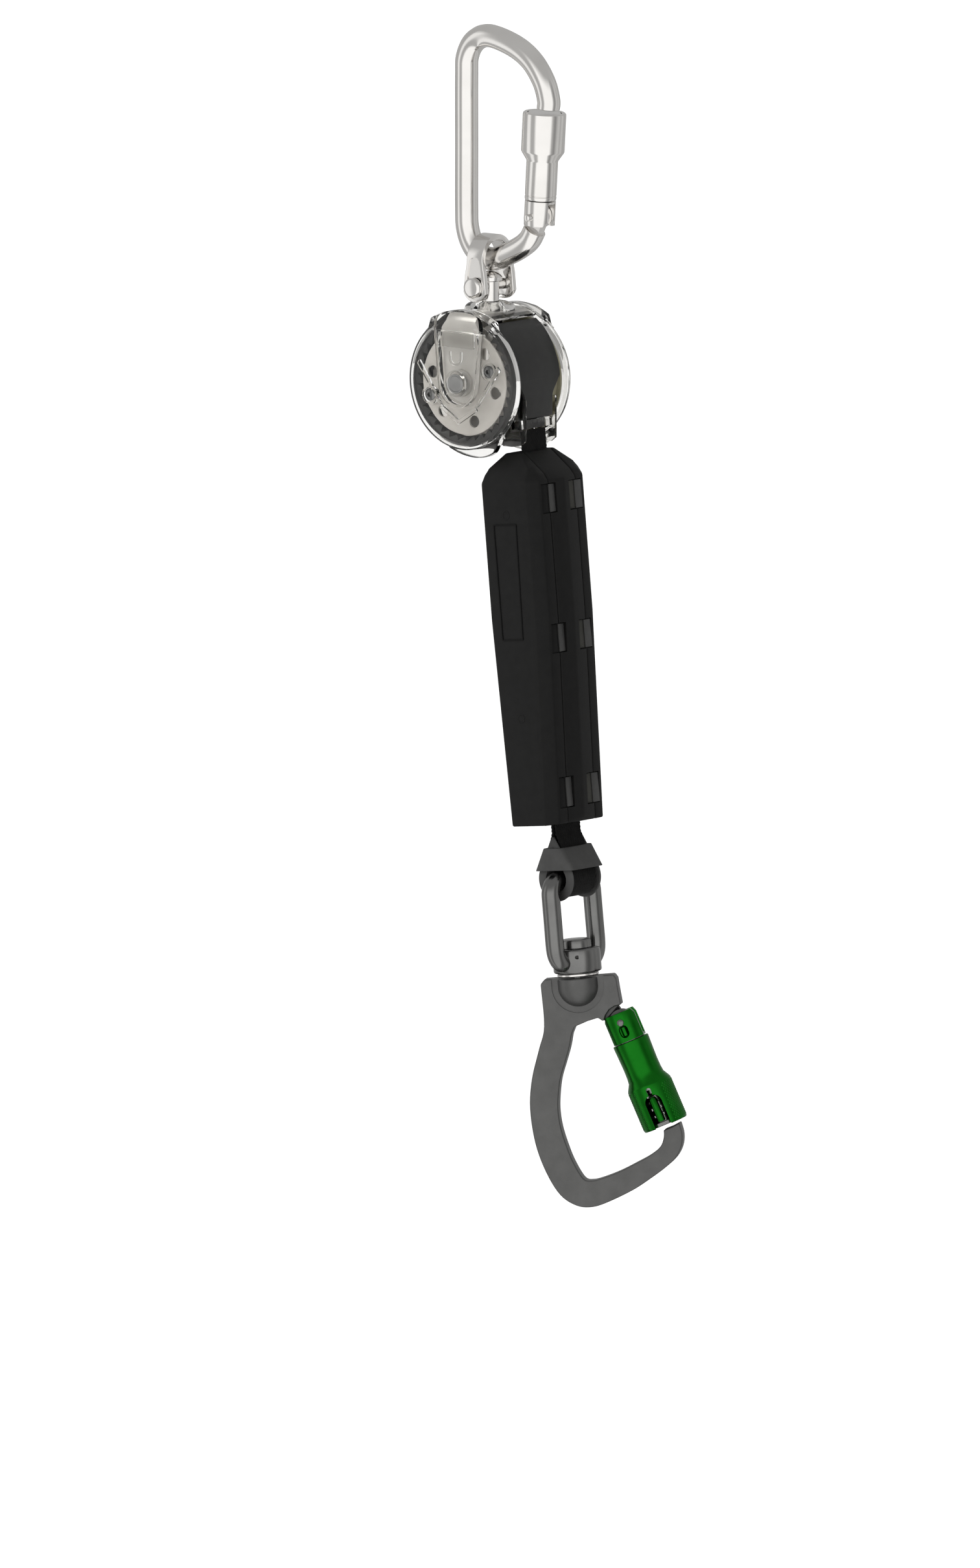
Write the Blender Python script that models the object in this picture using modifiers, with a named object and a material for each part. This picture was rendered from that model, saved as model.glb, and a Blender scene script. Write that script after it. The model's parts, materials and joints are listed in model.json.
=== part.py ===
"""Self retracting lifeline: carabiner, clear drum housing, webbing, absorber pack and swivel hook.

Sizes are in millimetres in the local frames below and are scaled to metres when a mesh is made.
The row origin is the anchor seat: the inside of the carabiner's top bend. Z is up, and the
drum axle lies along Y with the front cover towards -Y.
"""
from math import asin, cos, hypot, pi, radians, sin, tau

import bmesh
import bpy
from mathutils import Matrix, Vector

MM = 0.001

# ---- driving dimensions ---------------------------------------------------------------
DRUM_Z = -171.2          # drum centre, measured down from the anchor seat
ROD = 6.0                # carabiner bar radius
C_HINGE = (32.5, 86.5)   # carabiner gate rivet, X and Z from the drum centre
C_LEAN = 3.5             # lean of the carabiner gate from vertical, degrees
C_EAR = 7.4              # half width of the carabiner gate's ears
RIVET_R = 1.85           # gate rivets, which turn in bores of RIVET_BORE
RIVET_BORE = 1.95
CLEVIS_Z = 62.5          # centre of the carabiner's lower bar, above the drum centre
CLEVIS_R = (10, 13)      # inner and outer radius of the clevis bend
PIN_Z = 48.1             # clevis pin above the drum centre
CLEVIS_PIN_BORE = 2.6
POST_R = 4.7             # swivel post radius
HEAD_R = 7.8             # swivel post head, round about the clevis pin
PLATE_Z = (31.8, 34.2)   # underside and top of the load frame's bridge
RIM_R = 35.5             # housing rim radius at the sides
HOOD_R = 37.6            # outer radius of the raised hood over the top
HOOD_A = 53              # angle where the hood starts on each side, degrees
HOOD_WALL = 1.6
TONGUE_Y = (24.2, 28.0)  # back and front of the raised tongue
TONGUE_W = 14.8          # half width of the tongue
FACE_Y = 25.0            # outer face of each cover
RIM_Y = 17.8             # inner edge of each cover
AXLE_R = 4.0             # drum axle radius
COIL_R = 24.0            # wound webbing radius
FLANGE_R = 27.4          # drum flange radius
CARRIER_Y = -20.9        # front face of the brake disc
SCREWS = ((-18.9, -7.3), (19.4, 7.4))
SCREW_BORE = 1.6
BAND_R = (33.5, 35.0)    # inner and outer radius of the dark bands
BAND_Y = 17.5            # their half width
TEETH = 26               # ratchet teeth, over an arc of TOOTH_ARC degrees
TOOTH_ARC = 284
TOOTH_END = 52           # angle where the toothed arc ends, degrees
TOOTH_R = (28.0, 30.2, 32.5)
SPIRAL_TURNS = 5
SPIRAL_STEPS = 18
SPIRAL_R = (6.9, 27.8)
PAWL_R = 17.0            # pawl pivots, radius and first angle
PAWL_A = 19.0
HOLE_R = 21.0            # circle of six holes in the brake disc
HOLE_A = 49
WEB_W = 9.9              # half width of the webbing
WEB_T = 0.8              # half thickness of the webbing
EXIT = (28.5, -29.6)     # webbing exit, X and Z from the drum centre
STRAP_LEAN = 6.1         # lean of the hanging half from vertical, degrees
SWING_S = -5.8           # strap swing axis, distance along the strap
PACK_X = -3.1            # offset of the absorber pack from the strap line, at its shoulders
PACK_SKEW = -1.8         # how far that offset grows by the pack's foot
PACK_TOP = 5.2
PACK_SHOULDER = 20.0
PACK_END = 197.0
PACK_TAPER = 3.5         # how much narrower each side is at the foot
PARTING = 11.2           # depth where the outer shells meet the middle one
PACK_WALL = 3.0
LEVELS = (PACK_TOP, 12.6, PACK_SHOULDER, 90, PACK_END - 2.5, PACK_END)
CLIP_S = ((21.6, 37.0), (93.7, 109.0), (172.8, 188.9))
FOLDS = 22               # folds of the tear webbing, FOLD_STEP apart
FOLD_STEP = 6.6
EYE_S = 226.0            # thimble eye, distance along the strap
EYE_R = 6.6
CLASP_S = (209.7, 221.3)  # top and bottom of the band round the thimble
LINK_R = 4.75            # link bar radius
BEND_R = 8.0             # link bend radius
LINK_W = 17.0            # half spacing of the link's legs
PLATE_S = 277.0          # top of the hook plate, distance along the strap
HOOK_TURN = 32.0         # turn of the hook about the strap line, degrees
H_HINGE = (20.8, 25.0)   # hook gate pin, across and down from the plate's top centre
H_LEAN = 18.3            # slant of the hook gate, degrees
H_EAR = 8.2              # half width of the hook gate's ears
PLATE_T = 5.75           # half thickness of the hook plate
BOSS_R = 11.5            # swivel boss of the hook
STEM_BORE = 5.25

# ---- frames: each maps local millimetres to row metres ---------------------------------
DRUM = Matrix.Translation((0, 0, DRUM_Z * MM)) @ Matrix.Scale(MM, 4)
STRAP = DRUM @ Matrix.Translation((EXIT[0], 0, EXIT[1])) @ Matrix.Rotation(-radians(STRAP_LEAN), 4, 'Y')
HOOK = STRAP @ Matrix.Translation((0, 0, -PLATE_S)) @ Matrix.Rotation(radians(HOOK_TURN), 4, 'Z')
C_GATE = DRUM @ Matrix.Translation((C_HINGE[0], 0, C_HINGE[1])) @ Matrix.Rotation(radians(C_LEAN), 4, 'Y')
H_GATE = HOOK @ Matrix.Translation((H_HINGE[0], 0, -H_HINGE[1])) @ Matrix.Rotation(-radians(H_LEAN), 4, 'Y')
ALONG_Y = Matrix.Rotation(-pi / 2, 4, 'X')

COLOURS = {
    "steel": ((0.72, 0.72, 0.72), 1.0, 0.25),
    "grey_steel": ((0.30, 0.30, 0.31), 1.0, 0.35),
    "clear": ((0.80, 0.82, 0.82), 0.0, 0.1),
    "dark_plastic": ((0.05, 0.05, 0.05), 0.0, 0.5),
    "black_plastic": ((0.02, 0.02, 0.02), 0.0, 0.45),
    "grey_plastic": ((0.09, 0.09, 0.09), 0.0, 0.5),
    "disc_metal": ((0.60, 0.57, 0.54), 0.8, 0.4),
    "olive": ((0.24, 0.22, 0.20), 0.0, 0.5),
    "webbing": ((0.01, 0.01, 0.01), 0.0, 0.9),
    "absorber_webbing": ((0.55, 0.53, 0.48), 0.0, 0.9),
    "green": ((0.02, 0.22, 0.03), 0.6, 0.35),
}


def start():
    """Clear the scene and make the two collections."""
    for obj in list(bpy.data.objects):
        bpy.data.objects.remove(obj, do_unlink=True)
    for coll in list(bpy.data.collections):
        bpy.data.collections.remove(coll)
    made = []
    for name in ("self_retracting_lifeline", "cutters"):
        coll = bpy.data.collections.new(name)
        bpy.context.scene.collection.children.link(coll)
        made.append(coll)
    return made


PARTS, CUTTERS = start()


def material(name, kind):
    colour, metal, rough = COLOURS[kind]
    mat = bpy.data.materials.new(name)
    mat.use_nodes = True
    bsdf = mat.node_tree.nodes["Principled BSDF"]
    bsdf.inputs["Base Color"].default_value = (*colour, 1.0)
    bsdf.inputs["Metallic"].default_value = metal
    bsdf.inputs["Roughness"].default_value = rough
    return mat


# ---- shape helpers: each returns a bmesh in local millimetres ---------------------------
def evaluated(data, modify=None):
    """Make data into a short-lived object, add its modifier, and take the result as a bmesh."""
    helper = bpy.data.objects.new("helper", data)
    CUTTERS.objects.link(helper)
    if modify:
        modify(helper)
    graph = bpy.context.evaluated_depsgraph_get()
    mesh = bpy.data.meshes.new_from_object(helper.evaluated_get(graph))
    bpy.data.objects.remove(helper, do_unlink=True)
    bm = bmesh.new()
    bm.from_mesh(mesh)
    bpy.data.meshes.remove(mesh)
    bmesh.ops.remove_doubles(bm, verts=bm.verts, dist=1e-4)
    bmesh.ops.recalc_face_normals(bm, faces=bm.faces)
    return bm


def lathe(profile, steps=24, axis='Z'):
    """Turn (radius, height) points about an axis. A profile that starts off the axis is a closed ring."""
    points = [(r, 0, h) for r, h in profile]
    edges = [(i, i + 1) for i in range(len(points) - 1)]
    if profile[0][0] > 0:
        edges.append((len(points) - 1, 0))
    mesh = bpy.data.meshes.new("profile")
    mesh.from_pydata(points, edges, [])

    def screw(obj):
        mod = obj.modifiers.new("screw", 'SCREW')
        mod.axis = 'Z'
        mod.steps = steps
        mod.render_steps = steps
        mod.use_merge_vertices = True
        mod.merge_threshold = 1e-4

    bm = evaluated(mesh, screw)
    if axis == 'Y':
        bm.transform(ALONG_Y)
    return bm


def outline_curve(points):
    """A closed 2D curve through points, filled on both sides."""
    curve = bpy.data.curves.new("outline", 'CURVE')
    curve.dimensions = '2D'
    curve.fill_mode = 'BOTH'
    spline = curve.splines.new('POLY')
    spline.points.add(len(points) - 1)
    for point, (x, y) in zip(spline.points, points):
        point.co = (x, y, 0, 1)
    spline.use_cyclic_u = True
    return curve


def prism(outline, y0, y1):
    """Extrude an XZ outline along Y."""
    curve = outline_curve([(x, -z) for x, z in outline])
    curve.extrude = (y1 - y0) / 2
    bm = evaluated(curve)
    bm.transform(Matrix.Translation((0, (y0 + y1) / 2, 0)) @ ALONG_Y)
    return bm


def prism_x(outline, x0, x1):
    """Extrude a YZ outline along X."""
    bm = prism([(-y, z) for y, z in outline], x0, x1)
    bm.transform(Matrix.Rotation(-pi / 2, 4, 'Z'))
    return bm


def rod(radius, h0, h1, axis='Z', steps=24, at=(0, 0, 0)):
    bm = bmesh.new()
    bmesh.ops.create_cone(bm, cap_ends=True, segments=steps, radius1=radius, radius2=radius, depth=h1 - h0,
                          matrix=Matrix.Translation((0, 0, (h0 + h1) / 2)))
    if axis == 'Y':
        bm.transform(ALONG_Y)
    bm.transform(Matrix.Translation(at))
    return bm


def tube(r0, r1, h0, h1, axis='Z', steps=24):
    return lathe([(r0, h0), (r1, h0), (r1, h1), (r0, h1)], steps, axis)


def box(x0, x1, y0, y1, z0, z1):
    bm = bmesh.new()
    middle = Matrix.Translation(((x0 + x1) / 2, (y0 + y1) / 2, (z0 + z1) / 2))
    size = Matrix.Diagonal((x1 - x0, y1 - y0, z1 - z0, 1))
    bmesh.ops.create_cube(bm, size=1, matrix=middle @ size)
    return bm


def arc(cx, cz, r, a0, a1, steps):
    """Points on an arc in XZ, angles in degrees from +X towards +Z."""
    turn = [radians(a0 + (a1 - a0) * i / steps) for i in range(steps + 1)]
    return [(cx + r * cos(a), cz + r * sin(a)) for a in turn]


def smooth(points, each=4):
    """Catmull-Rom through open points."""
    pts = [Vector(p) for p in points]
    pts = [2 * pts[0] - pts[1]] + pts + [2 * pts[-1] - pts[-2]]
    out = []
    for a, b, c, d in zip(pts, pts[1:], pts[2:], pts[3:]):
        for i in range(each):
            t = i / each
            out.append(0.5 * (2 * b + (c - a) * t + (2 * a - 5 * b + 4 * c - d) * t ** 2
                              + (3 * b - a - 3 * c + d) * t ** 3))
    return out + [pts[-2]]


def wire(path, radius, resolution=2):
    """A round bar along a path, with flat ends."""
    curve = bpy.data.curves.new("wire", 'CURVE')
    curve.dimensions = '3D'
    curve.bevel_depth = radius
    curve.bevel_resolution = resolution
    curve.use_fill_caps = True
    spline = curve.splines.new('POLY')
    spline.points.add(len(path) - 1)
    for point, place in zip(spline.points, path):
        point.co = (*place, 1)
    return evaluated(curve)


def ribbon(path, thick, y0, y1):
    """A strip of even thickness that follows an XZ path and spans y0 to y1."""
    points = [(x, y, z) for x, z in path for y in (y0, y1)]
    faces = [(2 * i, 2 * i + 1, 2 * i + 3, 2 * i + 2) for i in range(len(path) - 1)]
    mesh = bpy.data.meshes.new("ribbon")
    mesh.from_pydata(points, [], faces)

    def thicken(obj):
        mod = obj.modifiers.new("solidify", 'SOLIDIFY')
        mod.thickness = thick
        mod.offset = 0
        mod.use_even_offset = True

    return evaluated(mesh, thicken)


def spring(radius, thick, z0, z1, turns=5, steps=10):
    """A round-wire helix about Z."""
    count = turns * steps
    return wire([(radius * cos(tau * i / steps), radius * sin(tau * i / steps), z0 + (z1 - z0) * i / count)
                 for i in range(count + 1)], thick, 0)


def loft(loops):
    """Skin equal loops of points, each bridged to the next, and cap both ends."""
    bm = bmesh.new()
    rings = [[bm.verts.new(p) for p in loop] for loop in loops]
    for low, high in zip(rings, rings[1:]):
        for i in range(len(low)):
            bm.faces.new((low[i - 1], low[i], high[i], high[i - 1]))
    bm.faces.new(rings[0])
    bm.faces.new(rings[-1])
    bmesh.ops.recalc_face_normals(bm, faces=bm.faces)
    return bm


# ---- object helpers -----------------------------------------------------------------------
def add(name, bm, frame, kind, pivot=(0, 0, 0), coll=None):
    """Make an object from local millimetres, its origin at the local point pivot."""
    mesh = bpy.data.meshes.new(name)
    bm.to_mesh(mesh)
    bm.free()
    at = frame @ Vector(pivot)
    mesh.transform(Matrix.Translation(-at) @ frame)
    obj = bpy.data.objects.new(name, mesh)
    obj.location = at
    (coll or PARTS).objects.link(obj)
    if kind:
        mesh.materials.append(material(name, kind))
    return obj


def boolean(obj, operation, other):
    """Join or cut obj by another object, which is a hidden helper from then on."""
    other.hide_render = True
    other.display_type = 'WIRE'
    mod = obj.modifiers.new("boolean", 'BOOLEAN')
    mod.operation = operation
    mod.solver = 'EXACT'
    mod.object = other


def cutter(bm, frame):
    return add(f"cut_{len(CUTTERS.objects):03d}", bm, frame, None, coll=CUTTERS)


def change(obj, operation, frame, *shapes):
    """Boolean obj by each bmesh in turn."""
    for bm in shapes:
        boolean(obj, operation, cutter(bm, frame))


def join_ears(gate, frame, block, round_rod):
    """Add the two ears at a gate's hinge: a block rounded off by a rod."""
    ears = cutter(block, frame)
    change(ears, 'INTERSECT', frame, round_rod)
    boolean(gate, 'UNION', ears)


def bevel(obj, width, segments=2, angle=40):
    mod = obj.modifiers.new("bevel", 'BEVEL')
    mod.width = width * MM
    mod.segments = segments
    mod.limit_method = 'ANGLE'
    mod.angle_limit = radians(angle)


# ---- top carabiner -------------------------------------------------------------------------
SEAT = (0, 0, -DRUM_Z)
hinge = Vector((C_HINGE[0], 0, C_HINGE[1]))
bar_points = [(38.2, 142.2), (38.4, 147.0), (35.2, 156.3), (27.4, 166.3), (15.9, 173.2), (0.0, 177.2),
              (-9.5, 174.0), (-14.6, 166.0), (-15.3, 155.0), (-15.3, 120.0), (-15.3, 88.0), (-14.6, 76.5),
              (-10.8, 67.8), (-4.5, 62.9), (3.5, 62.2), (12.5, 65.6), (20.5, 69.6), (26.0, 73.8), (29.4, 79.2)]
bar_path = smooth([(x, 0, z) for x, z in bar_points], 2)
body = add("carabiner_body", wire(bar_path, ROD), DRUM, "steel", SEAT)
root = hinge - Vector((0.42, 0, 0.907)) * 10
side = Vector((0.907, 0, -0.42)) * 4.5
neck = [root + side, hinge + side, hinge - side, root - side]
change(body, 'UNION', DRUM, prism([(p.x, p.z) for p in neck], -2.49, 2.49))
change(body, 'UNION', DRUM, rod(ROD, -2.5, 2.5, 'Y', at=hinge))
change(body, 'DIFFERENCE', DRUM, rod(RIVET_BORE, -9, 9, 'Y', at=hinge))

gate = add("carabiner_gate", lathe([(0, 7.0), (5.3, 7.0), (5.3, 52.2), (8.6, 52.2), (8.6, 54.0), (0, 54.0)]),
           C_GATE, "steel")
ear_outline = [(-C_EAR, 8.2), (-C_EAR, -1.6), (-6.2, -4.6), (6.2, -4.6), (C_EAR, -1.6), (C_EAR, 8.2)]
join_ears(gate, C_GATE, prism(ear_outline, -C_EAR, C_EAR), rod(8.0, -9, 9))
change(gate, 'DIFFERENCE', C_GATE, box(-12, 12, -2.8, 2.8, -10, 7.0), rod(RIVET_BORE, -9, 9, 'Y'))
add("carabiner_gate_pin", lathe([(0, -11.3), (1.1, -11.3), (RIVET_R, -10.4), (RIVET_R, 7.6), (2.8, 7.6),
                                 (2.8, 8.6), (0, 8.6)], 24, 'Y'), C_GATE, "steel")
add("carabiner_sleeve", lathe([(5.7, 8.6), (7.4, 8.6), (8.15, 9.4), (8.15, 29.0), (10.7, 33.0), (11.2, 34.0),
                               (11.2, 53.2), (10.4, 54.1), (8.9, 54.1), (8.9, 34.0), (5.7, 34.0)], 28),
    C_GATE, "steel")
add("carabiner_sleeve_spring", spring(7.2, 0.7, 35.2, 51.2), C_GATE, "grey_steel")

# ---- clevis and swivel post --------------------------------------------------------------
inner_r, outer_r = CLEVIS_R
u_outer = [(-outer_r, 38)] + arc(0, 62, outer_r, 180, 0, 20) + [(outer_r, 38)]
u_inner = [(inner_r, 38)] + arc(0, 62, inner_r, 0, 180, 20) + [(-inner_r, 38)]
clevis = add("clevis", prism_x(u_outer + u_inner, -8, 8), DRUM, "steel", (0, 0, CLEVIS_Z))
side = arc(0, PIN_Z, 7.7, 200, 340, 14) + [(6.4, 54), (5, 62), (5, 77), (-5, 77), (-5, 62), (-6.4, 54)]
change(clevis, 'INTERSECT', DRUM, prism(side, -20, 20))
change(clevis, 'DIFFERENCE', DRUM, rod(CLEVIS_PIN_BORE, -20, 20, 'Y', at=(0, 0, PIN_Z)))
PIN = DRUM @ Matrix.Translation((0, 0, PIN_Z))
add("clevis_pin", lathe([(0, -16.0), (3.9, -16.0), (5.2, -14.9), (5.2, -13.2), (2.5, -13.2), (2.5, 13.3),
                         (2.0, 13.3), (2.0, 14.5), (2.5, 14.5), (2.5, 15.8), (0, 15.8)], 32, 'Y'), PIN, "steel")
add("clevis_pin_clip", tube(2.1, 4.6, 13.4, 14.4, 'Y', 28), PIN, "steel")
dome = arc(0, PIN_Z, HEAD_R, 36, 81, 5)
post = add("swivel_post", lathe([(0, 27.6), (POST_R, 27.6), (POST_R, 50.6), (6.3, 51.2)] + dome
                                + [(0, PIN_Z + HEAD_R)]), DRUM, "steel", (0, 0, PIN_Z))
change(post, 'DIFFERENCE', DRUM, rod(CLEVIS_PIN_BORE, -20, 20, 'Y', at=(0, 0, PIN_Z)))
add("swivel_nut", tube(POST_R + 0.05, 8.0, 27.7, 31.5), DRUM, "steel", (0, 0, PIN_Z))

# ---- housing -------------------------------------------------------------------------------
add("swivel_bush", tube(POST_R + 0.15, 6.45, 31.6, 39.2), DRUM, "steel")
arm = [(-23, -9), (-23, 29.5), (-19, PLATE_Z[1]), (19, PLATE_Z[1]), (23, 29.5), (23, -9),
       (21, -9), (21, 30.2), (19.6, PLATE_Z[0]), (-19.6, PLATE_Z[0]), (-21, 30.2), (-21, -9)]
frame = add("load_frame", prism_x(arm, -9, 9), DRUM, "steel")
frame_side = arc(0, 0, 8.5, 180, 360, 18) + [(8.5, 36), (-8.5, 36)]
change(frame, 'INTERSECT', DRUM, prism(frame_side, -30, 30))
change(frame, 'DIFFERENCE', DRUM, rod(AXLE_R + 0.05, -30, 30, 'Y'), rod(6.6, 30, 36))
add("drum_axle", lathe([(0, -25.4), (3.4, -25.4), (AXLE_R, -24.9), (AXLE_R, 24.9), (3.4, 25.4), (0, 25.4)],
                       32, 'Y'), DRUM, "steel")
for name, face in (("axle_nut_front", -24.9), ("axle_nut_rear", 23.2)):
    add(name, lathe([(AXLE_R + 0.05, face), (7.0, face), (7.0, face + 1.7), (AXLE_R + 0.05, face + 1.7)],
                    24, 'Y'), DRUM, "steel")
dish = [(0, FACE_Y), (28, FACE_Y), (31.4, 24.7), (33.6, 23.9), (35.0, 22.5), (RIM_R, 20.8), (35.2, 19.2),
        (34.4, RIM_Y), (33.0, RIM_Y), (33.6, 19.4), (33.7, 21.0), (33.0, 22.2), (31.5, 23.1), (28, 23.4), (0, 23.4)]
tongue = arc(0, 0, 12.5, 186, 354, 12) + [(TONGUE_W, 24), (TONGUE_W, 28), (-TONGUE_W, 28), (-TONGUE_W, 24)]
hood = arc(0, 0, HOOD_R, HOOD_A, 180 - HOOD_A, 14) + arc(0, 0, 33.2, 180 - HOOD_A, HOOD_A, 14)
hood_face = arc(0, 0, HOOD_R - 0.3, HOOD_A + 1, 179 - HOOD_A, 14) + arc(0, 0, 28.7, 179 - HOOD_A, HOOD_A + 1, 13)
room = arc(0, 0, HOOD_R - HOOD_WALL, HOOD_A + 4, 176 - HOOD_A, 12) + arc(0, 0, 29.5, 176 - HOOD_A, HOOD_A + 4, 12)
side_x = TONGUE_W - 0.1
crown = arc(0, 0, HOOD_R - 0.15, 68, 112, 10) + [(-side_x, 33.5), (-side_x, 27.2), (side_x, 27.2), (side_x, 33.5)]
dome = [(23.9, 27), (23.9, 38), (24.4, 37.0), (26.2, 34.8), (27.4, 31.6), (27.95, 28.0), (27.9, 27)]
keel = [(-9.5, -34.2), (-2.0, -37.0), (6.0, -38.3), (12.4, -38.2), (20.5, -34.2), (25.2, -25.0)]
keel += arc(0, 0, 33.6, -45, -105, 9)
for name, way in (("front_cover", -1), ("rear_cover", 1)):
    cover = add(name, lathe([(r, way * y) for r, y in dish], 40, 'Y'), DRUM, "clear")
    change(cover, 'UNION', DRUM, prism(hood, *sorted((way * (RIM_Y + 0.1), way * 24.6))))
    change(cover, 'UNION', DRUM, prism(hood_face, *sorted((way * 23.5, way * 24.5))))
    change(cover, 'DIFFERENCE', DRUM, prism(room, *sorted((way * 17.0, way * 23.35))))
    change(cover, 'UNION', DRUM, prism(tongue, *sorted([way * y for y in TONGUE_Y])))
    top = cutter(prism_x([(way * y, z) for y, z in dome], -20, 20), DRUM)
    change(top, 'INTERSECT', DRUM, prism(crown, -30, 30))
    boolean(cover, 'UNION', top)
    change(cover, 'UNION', DRUM, prism(keel, *sorted((way * 18.3, way * 22.6))))
    change(cover, 'DIFFERENCE', DRUM, rod(8.2, *sorted((way * 22.0, way * 26.4)), 'Y'))
    for i, (x, z) in enumerate(SCREWS if way < 0 else ()):
        change(cover, 'DIFFERENCE', DRUM, rod(SCREW_BORE, -26.0, -22.0, 'Y', 20, (x, 0, z)))
        head = lathe([(0, -23.0), (1.5, -23.0), (1.5, -25.1), (3.2, -25.1), (3.2, -25.9), (2.4, -26.5),
                      (0, -26.5)], 24, 'Y')
        head.transform(Matrix.Translation((x, 0, z)))
        add(f"cover_screw_{i + 1}", head, DRUM, "steel")
add("centre_badge", rod(5.0, -28.7, -28.1, 'Y'), DRUM, "steel")

low_r, high_r = BAND_R
band_line = [(16.2, 31.0), (21.4, 26.8), (26.0, 20.7), (29.3, 14.0), (31.4, 7.0), (32.0, 0.0)]
outside = [tuple(p) for p in smooth(band_line, 3)]
inside = [(x * (1 - 1.55 / hypot(x, z)), z * (1 - 1.55 / hypot(x, z))) for x, z in outside]
band = outside + [(32.0, -17.5), (30.4, -17.5)] + inside[::-1]
guard = add("guard_band", prism(band, -BAND_Y, BAND_Y), DRUM, "dark_plastic")
corner = [(11.3, -6), (17.6, 3), (20, 3), (20, -20), (11.3, -20)]
for way in (-1, 1):
    change(guard, 'DIFFERENCE', DRUM, prism_x([(way * y, z) for y, z in corner], 28, 34))
back_band = arc(0, 0, high_r, 117.5, 300, 26) + arc(0, 0, low_r, 300, 117.5, 26)
add("guard_band_back", prism(back_band, -BAND_Y, BAND_Y), DRUM, "dark_plastic")
cap_arc = arc(0, 0, 37.2, 64, 116, 16) + arc(0, 0, 35.6, 116, 64, 16)
cap = add("top_cap", prism(cap_arc, -BAND_Y, BAND_Y), DRUM, "clear")
collar = [(0, 35.7), (13.2, 35.7), (12.7, 37.8), (11.0, 39.2), (8.6, 40.0), (0, 40.1)]
change(cap, 'UNION', DRUM, lathe(collar, 32))
change(cap, 'DIFFERENCE', DRUM, rod(6.75, 30, 45), rod(35.6, -20, 20, 'Y', 64))
guide = add("webbing_guide", box(-3.8, 3.8, -13.2, 13.2, 6.5, 11.0), STRAP, "grey_plastic")
change(guide, 'DIFFERENCE', STRAP, box(-2.2, 2.2, -11.0, 11.0, 5.0, 12.0))
cheek = arc(0, 0, 30.6, -14, -50, 6) + [(18.6, -30.0), (19.0, -32.2), (25.0, -32.2), (30.5, -31.2), (33.3, -29.0),
                                       (33.3, -7.4)]
for way in (-1, 1):
    change(guide, 'UNION', DRUM, prism(cheek, *sorted((way * 11.7, way * 13.15))))
span = TOOTH_ARC / TEETH
tip_r, root_r, ring_r = TOOTH_R
ring = arc(0, 0, ring_r, TOOTH_END, TOOTH_END - TOOTH_ARC, 40)
for i in range(TEETH):
    start_a = TOOTH_END - TOOTH_ARC + i * span
    ring += arc(0, 0, tip_r, start_a, start_a + 0.2 * span, 1)
    ring += arc(0, 0, root_r, start_a + 0.3 * span, start_a + 0.3 * span, 1)[:1]
ring += arc(0, 0, tip_r, TOOTH_END, TOOTH_END, 1)[:1]
add("ratchet_ring", prism(ring, CARRIER_Y, -17.9), DRUM, "dark_plastic")
add("spring_cassette", lathe([(6.6, 13.2), (29.9, 13.2), (29.9, 20.6), (28.6, 20.6), (28.6, 14.6), (6.6, 14.6)],
                             40, 'Y'), DRUM, "olive")
spiral = []
for i in range(SPIRAL_TURNS * SPIRAL_STEPS + 1):
    turned = i / SPIRAL_STEPS
    r = SPIRAL_R[0] + (SPIRAL_R[1] - SPIRAL_R[0]) * turned / SPIRAL_TURNS
    spiral.append((r * cos(tau * turned), r * sin(tau * turned)))
add("power_spring", ribbon(spiral, 0.6, 15.2, 19.8), DRUM, "grey_steel")
add("webbing_run", box(-WEB_T, WEB_T, -WEB_W, WEB_W, 6.2, 31.5), STRAP, "webbing")

# ---- drum ------------------------------------------------------------------------------------
BORE = AXLE_R + 0.15
add("drum_hub", lathe([(BORE, -10.8), (9.0, -10.8), (9.0, 12.3), (6.0, 12.3), (6.0, 20.4), (BORE, 20.4)], 40, 'Y'),
    DRUM, "grey_steel")
add("drum_flange_front", tube(BORE, FLANGE_R, -12.3, -10.9, 'Y', 36), DRUM, "disc_metal")
add("drum_flange_rear", tube(9.1, FLANGE_R, 10.9, 12.2, 'Y', 36), DRUM, "disc_metal")
add("webbing_coil", tube(9.1, COIL_R, -WEB_W, WEB_W, 'Y', 40), DRUM, "webbing")
carrier = add("brake_disc", lathe([(BORE, CARRIER_Y), (FLANGE_R, CARRIER_Y), (FLANGE_R, CARRIER_Y + 1),
                                   (8.2, CARRIER_Y + 1), (8.2, -12.4), (BORE, -12.4)], 36, 'Y'), DRUM, "disc_metal")
for i in range(6):
    a = radians(HOLE_A + 60 * i)
    hole = (HOLE_R * cos(a), 0, HOLE_R * sin(a))
    change(carrier, 'DIFFERENCE', DRUM, rod(3.25, -22, -18, 'Y', 12, hole))
for i in (1, 2):
    a = radians(PAWL_A + 180 * i)
    at = (PAWL_R * cos(a), 0, PAWL_R * sin(a))
    change(carrier, 'DIFFERENCE', DRUM, rod(1.5, -22, -18, 'Y', 12, at))
    local = DRUM @ Matrix.Translation(at) @ Matrix.Rotation(-a, 4, 'Y')
    outline = arc(0, 0, 3.2, 180, 360, 10) + [(3.6, 7), (3.0, 14), (1.2, 20.2), (-0.8, 20.5), (-2.2, 17),
                                              (-3.2, 10)]
    pawl = add(f"brake_pawl_{i}", prism(outline, CARRIER_Y + 1.2, CARRIER_Y + 2.9), local, "steel")
    change(pawl, 'DIFFERENCE', local, rod(1.5, -22, -16, 'Y', 12))
    add(f"pawl_pin_{i}", lathe([(0, CARRIER_Y), (1.4, CARRIER_Y), (1.4, -17.8), (2.3, -17.8), (2.3, -17.3),
                                (0, -17.3)], 20, 'Y'), local, "grey_steel")

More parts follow.
